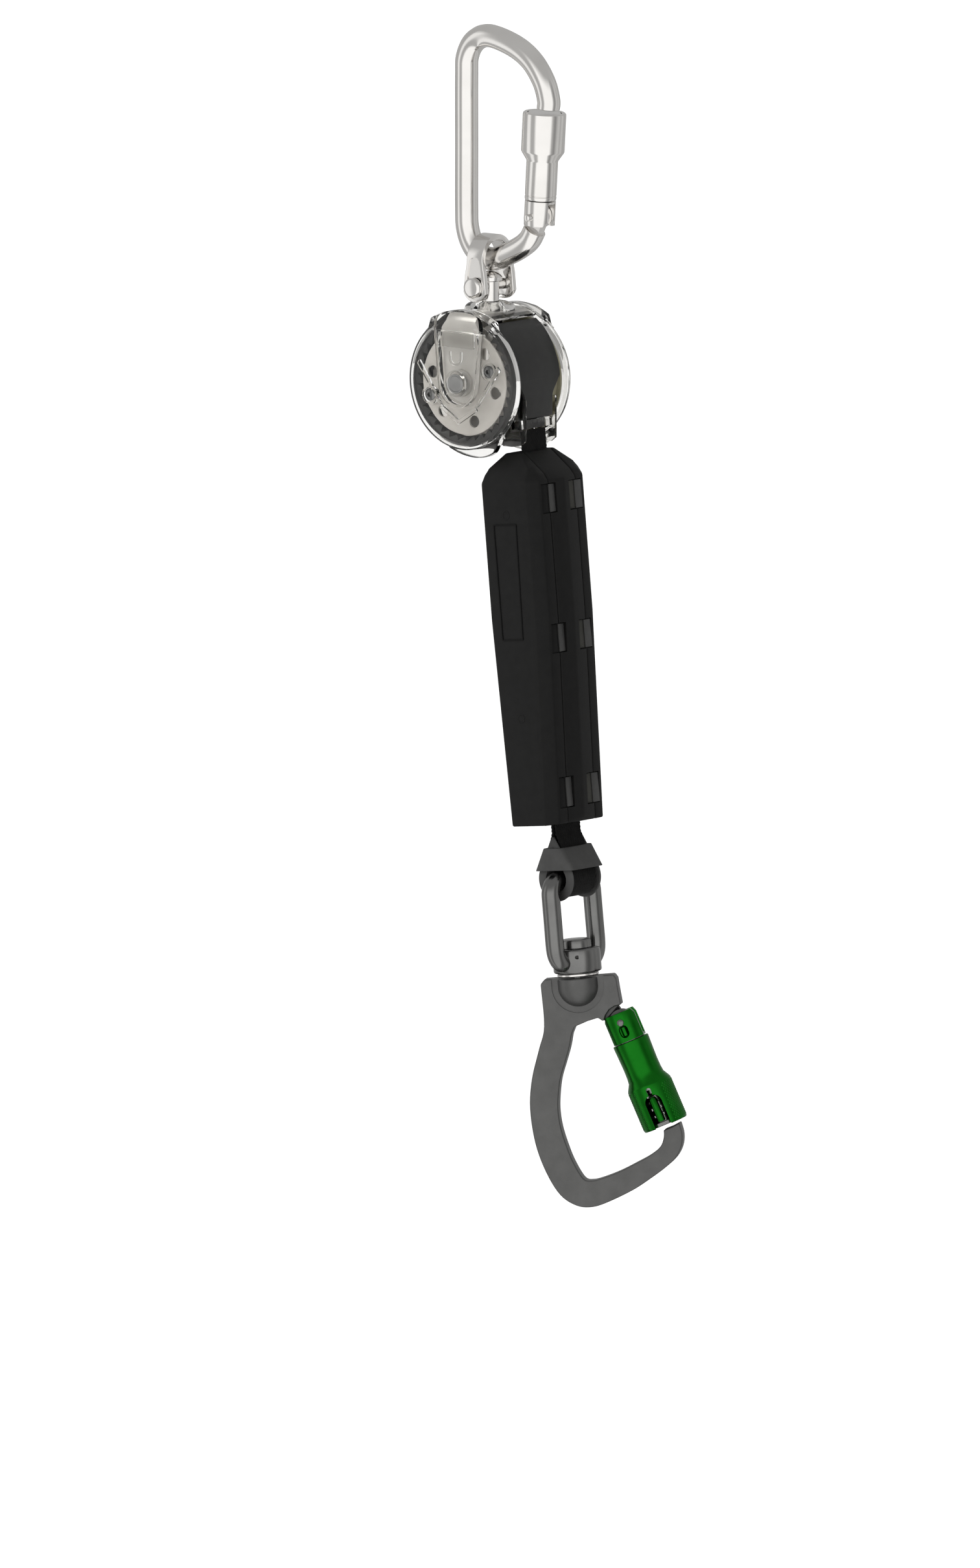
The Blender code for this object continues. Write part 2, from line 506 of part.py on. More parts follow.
# ---- webbing tail and absorber pack ------------------------------------------------------------
add("webbing_tail", box(-WEB_T, WEB_T, -WEB_W, WEB_W, -3.0, 5.6), STRAP, "webbing", (0, 0, -SWING_S))


def pack_middle(s):
    return PACK_X + PACK_SKEW * (s - PACK_SHOULDER) / (PACK_END - PACK_SHOULDER)


def pack_half(y, s, inset=0.0):
    """Half width of the pack at depth y and distance s down the strap."""
    depth = [(0.0, 21.3), (PARTING, 19.7), (17.8, 19.05), (24.1, 14.0)]
    y = abs(y)
    for (y0, w0), (y1, w1) in zip(depth, depth[1:]):
        if y <= y1 + 1e-6:
            half = w0 + (w1 - w0) * (y - y0) / (y1 - y0)
            break
    taper = max(0.0, (s - 90) / (PACK_END - 90)) * PACK_TAPER
    shoulder = 5.0 + 1.1 * (s - PACK_TOP)
    foot = 16.0 + (PACK_END - s)
    return min(half - taper, shoulder, foot) - inset


def pack_depth(y, s):
    """Depth y drawn in towards the parting line over the shoulders."""
    keep = min(1.0, 0.2 + 0.8 * (s - PACK_TOP) / (PACK_SHOULDER - PACK_TOP))
    over = max(0.0, abs(y) - PARTING)
    return y if over == 0 else (abs(y) - over * (1 - keep)) * (1 if y > 0 else -1)


def pack_loft(ys, levels, inset=0.0):
    """Loft the pack between depths ys[0] and ys[-1]."""
    loops = []
    for s in levels:
        right = [(pack_middle(s) + pack_half(y, s, inset), pack_depth(y, s), -s) for y in ys]
        left = [(pack_middle(s) - pack_half(y, s, inset), pack_depth(y, s), -s) for y in reversed(ys)]
        loops.append(right + left)
    return loft(loops)


SHELLS = (("absorber_front_cover", (-24.1, -17.8, -PARTING)), ("absorber_body", (-10.9, 0, 10.9)),
          ("absorber_rear_cover", (PARTING, 17.8, 24.1)))
for name, ys in SHELLS:
    shell = add(name, pack_loft(ys, LEVELS), STRAP, "black_plastic")
    hollow = pack_loft((-21.3, -17.8, 0, 17.8, 21.3), (PACK_SHOULDER, 24, 90, PACK_END - 4), PACK_WALL)
    change(shell, 'DIFFERENCE', STRAP, hollow, box(-1.5, 1.5, -10.2, 10.2, -30, 0),
           box(-3.2, 3.2, -10.2, 10.2, -205, -188))
    for y0, y1 in ((-13.8, -8.4), (7.4, 13.6)):
        inside = ys[0] < y1 and ys[-1] > y0
        for s0, s1 in CLIP_S:
            face = pack_middle(s1) + pack_half(PARTING, s1)
            if inside:
                change(shell, 'DIFFERENCE', STRAP, box(face - 1.8, face + 4, y0, y1, -s1, -s0))
for row, (y0, y1) in (("front", (-13.4, -8.8)), ("rear", (7.8, 13.2))):
    for i, (s0, s1) in enumerate(CLIP_S):
        face = pack_middle(s1) + pack_half(PARTING, s1)
        add(f"latch_clip_{row}_{i + 1}", box(face - 1.4, face - 0.2, y0, y1, 0.5 - s1, -0.5 - s0), STRAP,
            "grey_plastic")
add("webbing_lead", box(-WEB_T, WEB_T, -WEB_W, WEB_W, -33.0, -3.4), STRAP, "webbing")
folds = []
for i in range(FOLDS):
    z = -38.0 - FOLD_STEP * i
    ends = (-14.5, 5.0) if i % 2 == 0 else (5.0, -14.5)
    bulge = 1.4 if i % 2 == 0 else -1.4
    folds += [(ends[0], z), (ends[1], z), (ends[1] + bulge, z - 1.8), (ends[1] + bulge, z - 4.8)]
add("energy_absorber", ribbon(folds[:-2], 2.0, -WEB_W, WEB_W), STRAP, "absorber_webbing")

# ---- webbing loop, thimble and link -----------------------------------------------------------
EYE = (0, 0, -EYE_S)


def teardrop(r, tip, steps=20):
    """Outline round the eye, pointed upwards at the distance tip."""
    lean = asin(r / tip) * 180 / pi
    return arc(0, -EYE_S, r, lean, -180 - lean, steps) + [(-0.6, tip - EYE_S), (0.6, tip - EYE_S)]


layers = [(-11.6, 11.3, 22), (-10.7, 11.3, 22), (-10.6, 8.0, 17), (10.6, 8.0, 17), (10.7, 11.3, 22),
          (11.6, 11.3, 22)]
thimble = add("thimble", loft([[(x, y, z) for x, z in teardrop(r, tip)] for y, r, tip in layers]), STRAP,
              "grey_plastic", EYE)
change(thimble, 'DIFFERENCE', STRAP, rod(EYE_R, -20, 20, 'Y', 40, EYE))
wrap = [(-1.25, -190.0), (-1.25, -202.5)] + arc(0, -EYE_S, 9.05, 158, 382, 20)
wrap += [(1.25, -202.5), (1.25, -190.0)]
add("webbing_loop", ribbon(wrap, 2 * WEB_T, -WEB_W, WEB_W), STRAP, "webbing")


def band_loop(half_x, half_y, z, r=3.0):
    """Rounded rectangle in XY."""
    out = []
    for k, (sx, sy) in enumerate(((1, 1), (-1, 1), (-1, -1), (1, -1))):
        for a in (0, 30, 60, 90):
            t = radians(90 * k + a)
            out.append((sx * (half_x - r) + r * cos(t), sy * (half_y - r) + r * sin(t), z))
    return out


clasp_top, clasp_foot = (-s for s in CLASP_S)
clasp = add("thimble_band", loft([band_loop(12.9, 13.4, clasp_foot), band_loop(6.6, 13.4, clasp_top)]), STRAP,
            "grey_plastic")
change(clasp, 'DIFFERENCE', STRAP, loft([band_loop(12.0, 12.0, clasp_foot - 1, 1.2),
                                         band_loop(4.3, 12.0, clasp_top + 1, 1.2)]))

leg = [(-10.5, -269.5), (-13.5, -268.6), (-16.0, -265.6), (-LINK_W, -260.5), (-LINK_W, -248)]
bend = arc(-LINK_W + BEND_R, -EYE_S - BEND_R, BEND_R, 180, 90, 8)
half = leg + bend
link_path = [(0, y, z) for y, z in half + [(-y, z) for y, z in reversed(half)]]
link = add("eye_link", wire(link_path, LINK_R), STRAP, "grey_steel", EYE)
change(link, 'UNION', STRAP, lathe([(0, -275.0), (11.4, -275.0), (12.4, -274.0), (12.4, -263.5), (11.4, -262.5),
                                    (0, -262.5)], 28))
change(link, 'DIFFERENCE', STRAP, rod(STEM_BORE, -280, -255))

# ---- swivel hook ---------------------------------------------------------------------------------
add("swivel_stem", lathe([(0, 11.2), (5.0, 11.2), (5.1, -11.0), (5.1, -14.8), (8.0, -14.8), (8.0, -18.4),
                          (6.6, -19.4), (0, -19.4)][::-1]), HOOK @ Matrix.Rotation(pi, 4, 'X'), "grey_steel")
add("swivel_washer", tube(5.3, 10.6, 0.3, 1.7), HOOK, "steel")
outer = [(-19.2, 2.5), (-19.2, 24.2), (-22.9, 36), (-27.8, 51), (-30, 66.2), (-28.7, 84.3), (-24.4, 99.5),
         (-18.1, 111.6), (-10.1, 117.7), (-2.0, 119.0), (7.0, 116.8), (19.6, 111.8), (28.6, 106.9), (37.7, 101.2),
         (43.4, 96.4), (46.6, 91.0), (47.5, 85.0), (46.4, 78.8)]
inner = [(38.0, 82.0), (37.7, 85.8), (35.6, 90.4), (29.7, 94.6), (22.5, 97.9), (13.6, 101.6), (4.8, 104.3),
         (-1.0, 105.3), (-5.4, 103.9), (-9.9, 95.1), (-12.9, 85.5), (-14.8, 76.8), (-15.4, 69), (-14.8, 61.4),
         (-13, 52.1), (-9.9, 43.8), (-7.1, 36.3), (-5.3, 29.5)]
nose = [(42.5, 80.6)]
shoulder = [(-3.4, 25.6), (3.5, 23.2), (9.0, 21.9), (11.3, 23.8), (12.0, 23.4), (13.0, 20.9), (15.2, 18.1),
            (18.0, 16.6), (21.4, 16.0), (20.6, 8.3), (20.1, 2.3), (18.7, 0.1)]
plate_2d = [tuple(p) for p in smooth(outer, 2)] + nose + [tuple(p) for p in smooth(inner, 2)] + shoulder
plate_2d += [(-17.0, 0.1)]
hook = add("hook_body", prism([(u, -v) for u, v in plate_2d], -PLATE_T, PLATE_T), HOOK, "grey_steel", (0, 0, 0))
bevel(hook, 2.2, 1)
boss = arc(0, -5, BOSS_R, -81, 0, 9)
change(hook, 'UNION', HOOK, lathe([(0, -5 - BOSS_R)] + boss + [(BOSS_R, -0.6), (0, -0.6)], 36))
pivot = (H_HINGE[0], 0, -H_HINGE[1])
neck = [(H_HINGE[0], -19), (H_HINGE[0], -31), (14.5, -27), (9.0, -20), (9.0, -12), (17, -12)]
change(hook, 'UNION', HOOK, prism(neck, -2.69, 2.69), rod(6.5, -2.7, 2.7, 'Y', at=pivot))
change(hook, 'DIFFERENCE', HOOK, rod(RIVET_BORE, -12, 12, 'Y', 24, pivot), rod(STEM_BORE, -11.6, 2))

gate = add("hook_gate", lathe([(0, -8.95), (6.5, -8.95), (6.5, -55.2), (9.6, -55.2), (9.6, -57.3), (0, -57.3)]),
           H_GATE, "green")
ear_outline = [(-H_EAR, -10.2), (-H_EAR, 2.4), (-7.0, 4.9), (7.0, 4.9), (H_EAR, 2.4), (H_EAR, -10.2)]
join_ears(gate, H_GATE, prism(ear_outline, -9.3, 9.3), rod(9.5, -11, 11))
change(gate, 'DIFFERENCE', H_GATE, box(-12, 12, -3.0, 3.0, -8.9, 12), rod(RIVET_BORE, -12, 12, 'Y'))
add("hook_gate_pin", lathe([(0, -10.2), (1.2, -10.0), (RIVET_R, -9.2), (RIVET_R, 9.2), (1.2, 10.0),
                            (0, 10.2)], 24, 'Y'), H_GATE, "steel")
add("hook_sleeve", lathe([(6.9, -10.6), (8.8, -10.6), (9.65, -11.4), (9.2, -24.0), (9.65, -31.5), (11.8, -34.5),
                          (11.8, -56.6), (11.2, -57.6), (9.95, -57.6), (9.95, -34.5), (6.9, -34.5)], 28),
    H_GATE, "green")
add("hook_sleeve_spring", spring(8.2, 0.8, -54.0, -36.0), H_GATE, "grey_steel")
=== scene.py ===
"""Visual model of a self retracting lifeline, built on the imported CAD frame.

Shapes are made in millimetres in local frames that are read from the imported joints, then
scaled to metres. Each visible CAD node is replaced by a finer piece on the same body.
"""
import json
from math import asin, cos, pi, radians, sin, tau

import bmesh
import bpy
from mathutils import Matrix, Vector


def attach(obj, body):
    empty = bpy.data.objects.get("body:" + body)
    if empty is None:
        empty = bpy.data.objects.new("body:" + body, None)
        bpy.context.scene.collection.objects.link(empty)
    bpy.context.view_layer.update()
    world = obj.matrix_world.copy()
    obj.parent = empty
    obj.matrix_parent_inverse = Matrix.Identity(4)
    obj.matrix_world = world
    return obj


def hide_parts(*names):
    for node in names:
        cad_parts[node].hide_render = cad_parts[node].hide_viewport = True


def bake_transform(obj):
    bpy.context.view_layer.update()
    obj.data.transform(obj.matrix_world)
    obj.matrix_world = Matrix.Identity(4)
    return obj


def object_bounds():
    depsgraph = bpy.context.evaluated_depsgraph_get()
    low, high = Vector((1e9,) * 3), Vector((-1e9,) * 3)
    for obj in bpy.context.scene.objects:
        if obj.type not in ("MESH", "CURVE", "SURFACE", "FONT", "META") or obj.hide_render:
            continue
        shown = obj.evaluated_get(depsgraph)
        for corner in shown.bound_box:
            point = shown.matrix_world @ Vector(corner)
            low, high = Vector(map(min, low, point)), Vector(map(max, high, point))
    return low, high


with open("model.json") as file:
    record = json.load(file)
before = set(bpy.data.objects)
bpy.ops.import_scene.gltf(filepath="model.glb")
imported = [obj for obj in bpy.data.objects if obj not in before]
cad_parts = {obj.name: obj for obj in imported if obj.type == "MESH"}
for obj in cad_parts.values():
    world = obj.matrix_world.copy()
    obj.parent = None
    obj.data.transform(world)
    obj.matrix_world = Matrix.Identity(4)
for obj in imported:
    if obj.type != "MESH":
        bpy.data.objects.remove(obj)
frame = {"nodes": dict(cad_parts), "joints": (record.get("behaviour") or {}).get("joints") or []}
CAD_BOX = [list(corner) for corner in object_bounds()]
JOINTS = {j["name"]: j for j in frame["joints"]}
MM = 0.001
ALONG_Y = Matrix.Rotation(-pi / 2, 4, 'X')
Y = Vector((0, 1, 0))

# ---- dimensions in millimetres ----
BAR_R = 6.0               # radius of the carabiner's bar
CARABINER_EAR = 7.9       # half-width of the carabiner gate's ears
HOOK_EAR = 8.2            # half-width of the hook gate's ears
HOOK_HINGE = (20.8, 0, -25)
PIN_HOLE_R = 2.6          # hole for the clevis pin
SWING_S = -5.8            # strap swing axis, along the strap
EYE_S = 226.0             # thimble eye, along the strap
EYE_R = 6.6               # hole in the thimble
STEM_HOLE_R = 5.25        # hole for the swivel stem
COVER_FACE = 24.8         # depth of the covers' outer face from the middle
TONGUE_FACE = -28.05      # depth of the trim's back on the front tongue
RIB_TOP = 26.3            # depth of the ribs' tops
BAND_HALF = 17.5          # half-width of the bands between the covers
SCREWS = ((-18.9, -7.3), (19.4, 7.4))      # across and up from the drum's axis
RING_SPAN = (52, -232)    # degrees over which the toothed ring runs
TEETH = 26
COIL_R = (9.1, 24.0)      # the wound webbing's inner and outer radius
COIL_TURNS = 9
WEB_HALF = 9.9            # half-width of the webbing
WEB_HALF_THICK = 0.8
WEAVE_COLUMNS = 54        # cells across the webbing
WEAVE_RELIEF = 0.13
WEAVE_STEP = 0.5          # length of a cell
PACK_X = -3.1             # middle of the pack at its shoulder
PACK_SKEW = -1.8          # how far the middle has moved at its end
PACK_TOP = 5.2
PACK_SLOPE = (8.9, 12.6, 16.3)
PACK_SHOULDER = 20.0
PACK_END = 197.0
PACK_TAPER = 3.5
PACK_WAIST = 90           # where the taper starts
PACK_WALL = 3.0
PARTING = 11.2            # depth of the pack's parting lines from the middle
# spans along the strap of the latch clips and of the moulded rings
CLIP_S = ((21.6, 37.0), (93.7, 109.0), (172.8, 188.9))
MOULD_MARK_S = (36.5, 141.5)
KNURL_COLUMNS = 52
KNURL_ROWS = 20
KNURL_LENGTH = 20.0
KNURL_CLEAR = 0.62        # radians left free on each side of the slot

# ---- camera and studio ----
AZIMUTH = radians(38.5)
ELEVATION = radians(8.0)
DISTANCE = 20.0           # metres
VIEW_HEIGHT = 0.8067      # height of the camera's view at the object, metres
VIEW_DROP = 0.2105        # how far below the drum the camera looks, metres
SENSOR = 36
FLOOR_SIZE = 60.0
FLOOR_DROP = 1.8          # metres below the object, out of reach of the paid-out strap
SUN_FROM = (-0.45, -0.75, 0.85)
SUN_POWER = 3.1
SUN_ANGLE = radians(50)
# brightness of the studio round the object: degrees to the right of the front, level
PANELS = ((-180, 0.48), (-103, 0.48), (-95, 1.0), (-80, 1.0), (-72, 0.48), (-54, 0.48), (-42, 1.18),
          (36, 1.18), (46, 0.46), (51, 0.46), (56, 0.30), (64, 0.30), (72, 0.50), (86, 0.66), (96, 0.46),
          (112, 0.64), (125, 0.46), (180, 0.46))
# share of plain overhead grey, by height of the direction
OVERHEAD = ((-1.0, 0.0), (0.30, 0.0), (0.62, 1.0), (1.0, 1.0))
OVERHEAD_GREY = 0.48


# ---- frames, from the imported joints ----
def place(name):
    """Where a joint is at rest, in metres."""
    return Vector(JOINTS[name]["pos_m"])


def line(name):
    """The direction of a joint's axis."""
    return Vector(JOINTS[name]["axis"]).normalized()


def local(origin, up, back):
    """A frame at origin with Z along up and Y along back, that maps millimetres to metres."""
    turned = Matrix((back.cross(up), back, up)).transposed().to_4x4()
    return Matrix.Translation(origin) @ turned @ Matrix.Scale(MM, 4)


DOWN = line("strap_payout")
DRUM = local(place("drum_spin"), Vector((0, 0, 1)), Y)
STRAP = local(place("strap_swing") - DOWN * SWING_S * MM, -DOWN, Y)
HOOK = local(place("hook_swivel"), -DOWN, line("hook_gate_open"))
C_GATE = local(place("carabiner_gate_open"), line("carabiner_sleeve_twist"), Y)
H_GATE = local(place("hook_gate_open"), -line("hook_sleeve_twist"), line("hook_gate_open"))
PIN_Z = (place("post_pivot").z - place("drum_spin").z) / MM
HINGE = (place("carabiner_gate_open") - place("drum_spin")) / MM

HELPERS = bpy.data.collections.new("helpers")
bpy.context.scene.collection.children.link(HELPERS)


# ---- shape helpers: each returns a bmesh in local millimetres ----
def evaluated(obj, keep=False):
    """The mesh of obj with its modifiers applied. The object is removed unless kept."""
    bpy.context.view_layer.update()
    graph = bpy.context.evaluated_depsgraph_get()
    mesh = bpy.data.meshes.new_from_object(obj.evaluated_get(graph))
    if not keep:
        bpy.data.objects.remove(obj, do_unlink=True)
    return mesh


def helper(data):
    """A loose working object in the helpers collection."""
    obj = bpy.data.objects.new("helper", data)
    HELPERS.objects.link(obj)
    return obj


def as_bmesh(mesh):
    """A welded bmesh of a mesh, which is removed."""
    bm = bmesh.new()
    bm.from_mesh(mesh)
    bpy.data.meshes.remove(mesh)
    bmesh.ops.remove_doubles(bm, verts=bm.verts, dist=1e-4)
    bmesh.ops.recalc_face_normals(bm, faces=bm.faces)
    return bm


def lathe(profile, steps=64, axis='Z'):
    """Turn (radius, height) points about an axis. A profile that starts off the axis is a ring."""
    mesh = bpy.data.meshes.new("profile")
    edges = [(i, i + 1) for i in range(len(profile) - 1)]
    if profile[0][0] > 0:
        edges.append((len(profile) - 1, 0))
    mesh.from_pydata([(r, 0, h) for r, h in profile], edges, [])
    obj = helper(mesh)
    mod = obj.modifiers.new("screw", 'SCREW')
    mod.steps = steps
    mod.render_steps = steps
    mod.use_merge_vertices = True
    mod.merge_threshold = 1e-4
    bm = as_bmesh(evaluated(obj))
    if axis == 'Y':
        bm.transform(ALONG_Y)
    return bm


def prism(outline, y0, y1):
    """Extrude an XZ outline along Y."""
    curve = bpy.data.curves.new("outline", 'CURVE')
    curve.dimensions = '2D'
    curve.fill_mode = 'BOTH'
    curve.extrude = (y1 - y0) / 2
    spline = curve.splines.new('POLY')
    spline.points.add(len(outline) - 1)
    for point, (x, z) in zip(spline.points, outline):
        point.co = (x, -z, 0, 1)
    spline.use_cyclic_u = True
    bm = as_bmesh(evaluated(helper(curve)))
    bmesh.ops.dissolve_limit(bm, angle_limit=0.001, verts=bm.verts, edges=bm.edges)
    bm.transform(Matrix.Translation((0, (y0 + y1) / 2, 0)) @ ALONG_Y)
    return bm


def prism_x(outline, x0, x1):
    """Extrude a YZ outline along X."""
    bm = prism([(-y, z) for y, z in outline], x0, x1)
    bm.transform(Matrix.Rotation(-pi / 2, 4, 'Z'))
    return bm


def rod(radius, h0, h1, axis='Z', steps=48, at=(0, 0, 0)):
    """A solid cylinder from h0 to h1 along an axis."""
    bm = lathe([(0, h0), (radius, h0), (radius, h1), (0, h1)], steps, axis)
    bm.transform(Matrix.Translation(at))
    return bm


def box(x0, x1, y0, y1, z0, z1):
    """A solid box between its limits."""
    bm = bmesh.new()
    middle = Matrix.Translation(((x0 + x1) / 2, (y0 + y1) / 2, (z0 + z1) / 2))
    bmesh.ops.create_cube(bm, size=1, matrix=middle @ Matrix.Diagonal((x1 - x0, y1 - y0, z1 - z0, 1)))
    return bm


def arc(cx, cz, r, a0, a1, steps):
    """Points along an arc from a0 to a1 degrees."""
    turn = [radians(a0 + (a1 - a0) * i / steps) for i in range(steps + 1)]
    return [(cx + r * cos(a), cz + r * sin(a)) for a in turn]


def smooth(points, each=8):
    """Catmull-Rom through open points, as tuples."""
    pts = [Vector(p) for p in points]
    pts = [2 * pts[0] - pts[1]] + pts + [2 * pts[-1] - pts[-2]]
    out = []
    for a, b, c, d in zip(pts, pts[1:], pts[2:], pts[3:]):
        for i in range(each):
            t = i / each
            out.append(0.5 * (2 * b + (c - a) * t + (2 * a - 5 * b + 4 * c - d) * t ** 2
                              + (3 * b - a - 3 * c + d) * t ** 3))
    return [tuple(p) for p in out + [pts[-2]]]


def wire(path, radius, resolution=8):
    """A round bar along a path, with flat ends."""
    curve = bpy.data.curves.new("wire", 'CURVE')
    curve.dimensions = '3D'
    curve.bevel_depth = radius
    curve.bevel_resolution = resolution
    curve.use_fill_caps = True
    spline = curve.splines.new('POLY')
    spline.points.add(len(path) - 1)
    for point, spot in zip(spline.points, path):
        point.co = (*spot, 1)
    return as_bmesh(evaluated(helper(curve)))


def loft(loops):
    """Skin equal loops of points, and cap both ends."""
    bm = bmesh.new()
    rings = [[bm.verts.new(p) for p in loop] for loop in loops]
    for low, high in zip(rings, rings[1:]):
        for i in range(len(low)):
            bm.faces.new((low[i - 1], low[i], high[i], high[i - 1]))
    bm.faces.new(rings[0])
    bm.faces.new(rings[-1])
    bmesh.ops.recalc_face_normals(bm, faces=bm.faces)
    return bm


def rounded(points, radius, steps=4):
    """Round the corners of a closed outline with short arcs."""
    out = []
    count = len(points)
    for i in range(count):
        a, b, c = (Vector(points[(i + k) % count]) for k in (-1, 0, 1))
        reach = min(radius, (a - b).length * 0.45, (c - b).length * 0.45)
        start = b + (a - b).normalized() * reach
        end = b + (c - b).normalized() * reach
        for k in range(steps + 1):
            t = k / steps
            out.append(tuple(start * (1 - t) ** 2 + b * 2 * t * (1 - t) + end * t ** 2))
    return out


# ---- pieces ----
def draft(bm, home):
    """A working object from a bmesh, moved from its local frame to metres."""
    mesh = bpy.data.meshes.new("draft")
    bm.to_mesh(mesh)
    bm.free()
    mesh.transform(home)
    return helper(mesh)


def combine(obj, operation, other):
    """Boolean obj by another draft, apply it and remove the other."""
    mod = obj.modifiers.new("boolean", 'BOOLEAN')
    mod.operation = operation
    mod.solver = 'EXACT'
    mod.object = other
    settle(obj)
    bpy.data.objects.remove(other, do_unlink=True)


def change(obj, operation, home, *shapes):
    """Boolean obj by each bmesh in turn."""
    for bm in shapes:
        combine(obj, operation, draft(bm, home))


def cut(obj, home, *shapes):
    change(obj, 'DIFFERENCE', home, *shapes)


def add(obj, home, *shapes):
    change(obj, 'UNION', home, *shapes)


def settle(obj):
    """Apply the modifiers of obj to its own mesh."""
    mesh = evaluated(obj, keep=True)
    obj.modifiers.clear()
    old = obj.data
    obj.data = mesh
    bpy.data.meshes.remove(old)


def soften(obj, width, segments=3, angle=30):
    """Round the edges of obj that are sharper than angle."""
    mod = obj.modifiers.new("bevel", 'BEVEL')
    mod.width = width * MM
    mod.segments = segments
    mod.limit_method = 'ANGLE'
    mod.angle_limit = radians(angle)
    mod.miter_outer = 'MITER_ARC'
    settle(obj)


def finish(obj, name, body, slot, mat, *nodes, angle=32):
    """Turn a draft into a finished piece on a body, standing for CAD nodes."""
    mesh = obj.data
    mesh.materials.clear()
    mesh.materials.append(mat)
    for face in mesh.polygons:
        face.use_smooth = True
    mesh.set_sharp_from_angle(angle=radians(angle))
    obj.name = name
    HELPERS.objects.unlink(obj)
    bpy.context.scene.collection.objects.link(obj)
    if body:
        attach(obj, body)
    if nodes:
        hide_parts(*nodes)
    return obj


def simple(bm, home, name, body, slot, mat, *nodes, bevel=0.0, angle=32):
    """Finish a bmesh as a piece in one step, with an optional bevel."""
    obj = draft(bm, home)
    if bevel:
        soften(obj, bevel)
    return finish(obj, name, body, slot, mat, *nodes, angle=angle)


# ---- materials ----
def node(tree, kind, **values):
    """Add a shader node and set its inputs by name."""
    made = tree.nodes.new(kind)
    for key, value in values.items():
        made.inputs[key.replace("_", " ")].default_value = value
    return made


def material(name, low, high, rough, metal, grain, bump, stretch=(1, 1, 1), **sockets):
    """A Principled material: broad noise drives its colour, fine noise its roughness and bump."""
    mat = bpy.data.materials.new(name)
    mat.use_nodes = True
    tree = mat.node_tree
    bsdf = tree.nodes["Principled BSDF"]
    coords = node(tree, "ShaderNodeTexCoord")
    mapping = node(tree, "ShaderNodeMapping", Scale=stretch)
    fine = node(tree, "ShaderNodeTexNoise", Scale=grain, Detail=6.0)
    broad = node(tree, "ShaderNodeTexNoise", Scale=grain / 12, Detail=4.0)
    ramp = node(tree, "ShaderNodeValToRGB")
    for stop, position, colour in zip(ramp.color_ramp.elements, (0.3, 0.7), (low, high)):
        stop.position = position
        stop.color = (*colour, 1)
    spread = node(tree, "ShaderNodeMapRange", To_Min=rough * 0.82, To_Max=min(1.0, rough * 1.2))
    height = node(tree, "ShaderNodeBump", Strength=bump, Distance=0.0002)
    wires = ((coords, "Object", mapping, "Vector"), (mapping, "Vector", fine, "Vector"),
             (coords, "Object", broad, "Vector"), (broad, "Fac", ramp, "Fac"),
             (ramp, "Color", bsdf, "Base Color"), (fine, "Fac", spread, "Value"),
             (spread, "Result", bsdf, "Roughness"), (fine, "Fac", height, "Height"),
             (height, "Normal", bsdf, "Normal"))
    for source, out, target, into in wires:
        tree.links.new(source.outputs[out], target.inputs[into])
    for key, value in {"Metallic": metal, **sockets}.items():
        bsdf.inputs[key.replace("_", " ")].default_value = value
    return mat


def grey(a, b):
    """Two slightly warm greys."""
    return (a, a, a * 0.985), (b, b, b * 0.985)


BRIGHT = material("bright_steel", (0.77, 0.755, 0.735), (0.83, 0.815, 0.795), 0.14, 1.0, 700, 0.01,
                  (1, 1, 0.08))
GREY_STEEL = material("grey_steel", *grey(0.095, 0.112), 0.40, 0.75, 1500, 0.06, Specular_IOR_Level=0.3)
LINK_STEEL = material("link_steel", *grey(0.165, 0.205), 0.2, 1.0, 900, 0.02)
SPRING_STEEL = material("spring_steel", *grey(0.30, 0.38), 0.3, 1.0, 1200, 0.05)
FRAME_METAL = material("frame_metal", (0.60, 0.585, 0.56), (0.66, 0.645, 0.62), 0.34, 0.35, 1100, 0.03)
DISC_METAL = material("disc_metal", (0.66, 0.635, 0.60), (0.72, 0.695, 0.66), 0.45, 0.1, 1000, 0.03)
DARK = material("dark_plastic", *grey(0.022, 0.026), 0.42, 0.0, 2200, 0.06, Specular_IOR_Level=0.22)
DARK_RING = material("dark_ring", *grey(0.030, 0.040), 0.45, 0.0, 1800, 0.06, Specular_IOR_Level=0.25)
BLACK = material("black_plastic", *grey(0.0062, 0.0078), 0.50, 0.0, 2600, 0.10, Specular_IOR_Level=0.13)
MARK = material("black_plastic_mark", *grey(0.0040, 0.0050), 0.45, 0.0, 2600, 0.08, Specular_IOR_Level=0.10)
TAB = material("grey_plastic", *grey(0.034, 0.042), 0.46, 0.0, 2200, 0.08, Specular_IOR_Level=0.3)
TAB_DARK = material("olive_tab", (0.028, 0.028, 0.024), (0.034, 0.034, 0.029), 0.5, 0.0, 2000, 0.08,
                    Specular_IOR_Level=0.2)
OLIVE = material("olive_plastic", (0.20, 0.19, 0.125), (0.25, 0.235, 0.165), 0.5, 0.0, 1600, 0.05)
WEB = material("webbing", *grey(0.004, 0.008), 0.8, 0.0, 5200, 0.4, Specular_IOR_Level=0.12,
               Sheen_Weight=0.08, Sheen_Roughness=0.4)
TEAR_WEB = material("tear_webbing", (0.50, 0.48, 0.43), (0.60, 0.58, 0.52), 0.85, 0.0, 4200, 0.5)
GREEN = material("green_anodised", (0.007, 0.13, 0.009), (0.010, 0.165, 0.012), 0.26, 1.0, 1500, 0.03,
                 Specular_IOR_Level=0.3)
CLEAR = material("clear_plastic", (0.80, 0.795, 0.78), (0.86, 0.855, 0.84), 0.02, 0.0, 500, 0.02,
                 Transmission_Weight=1.0, IOR=1.30)


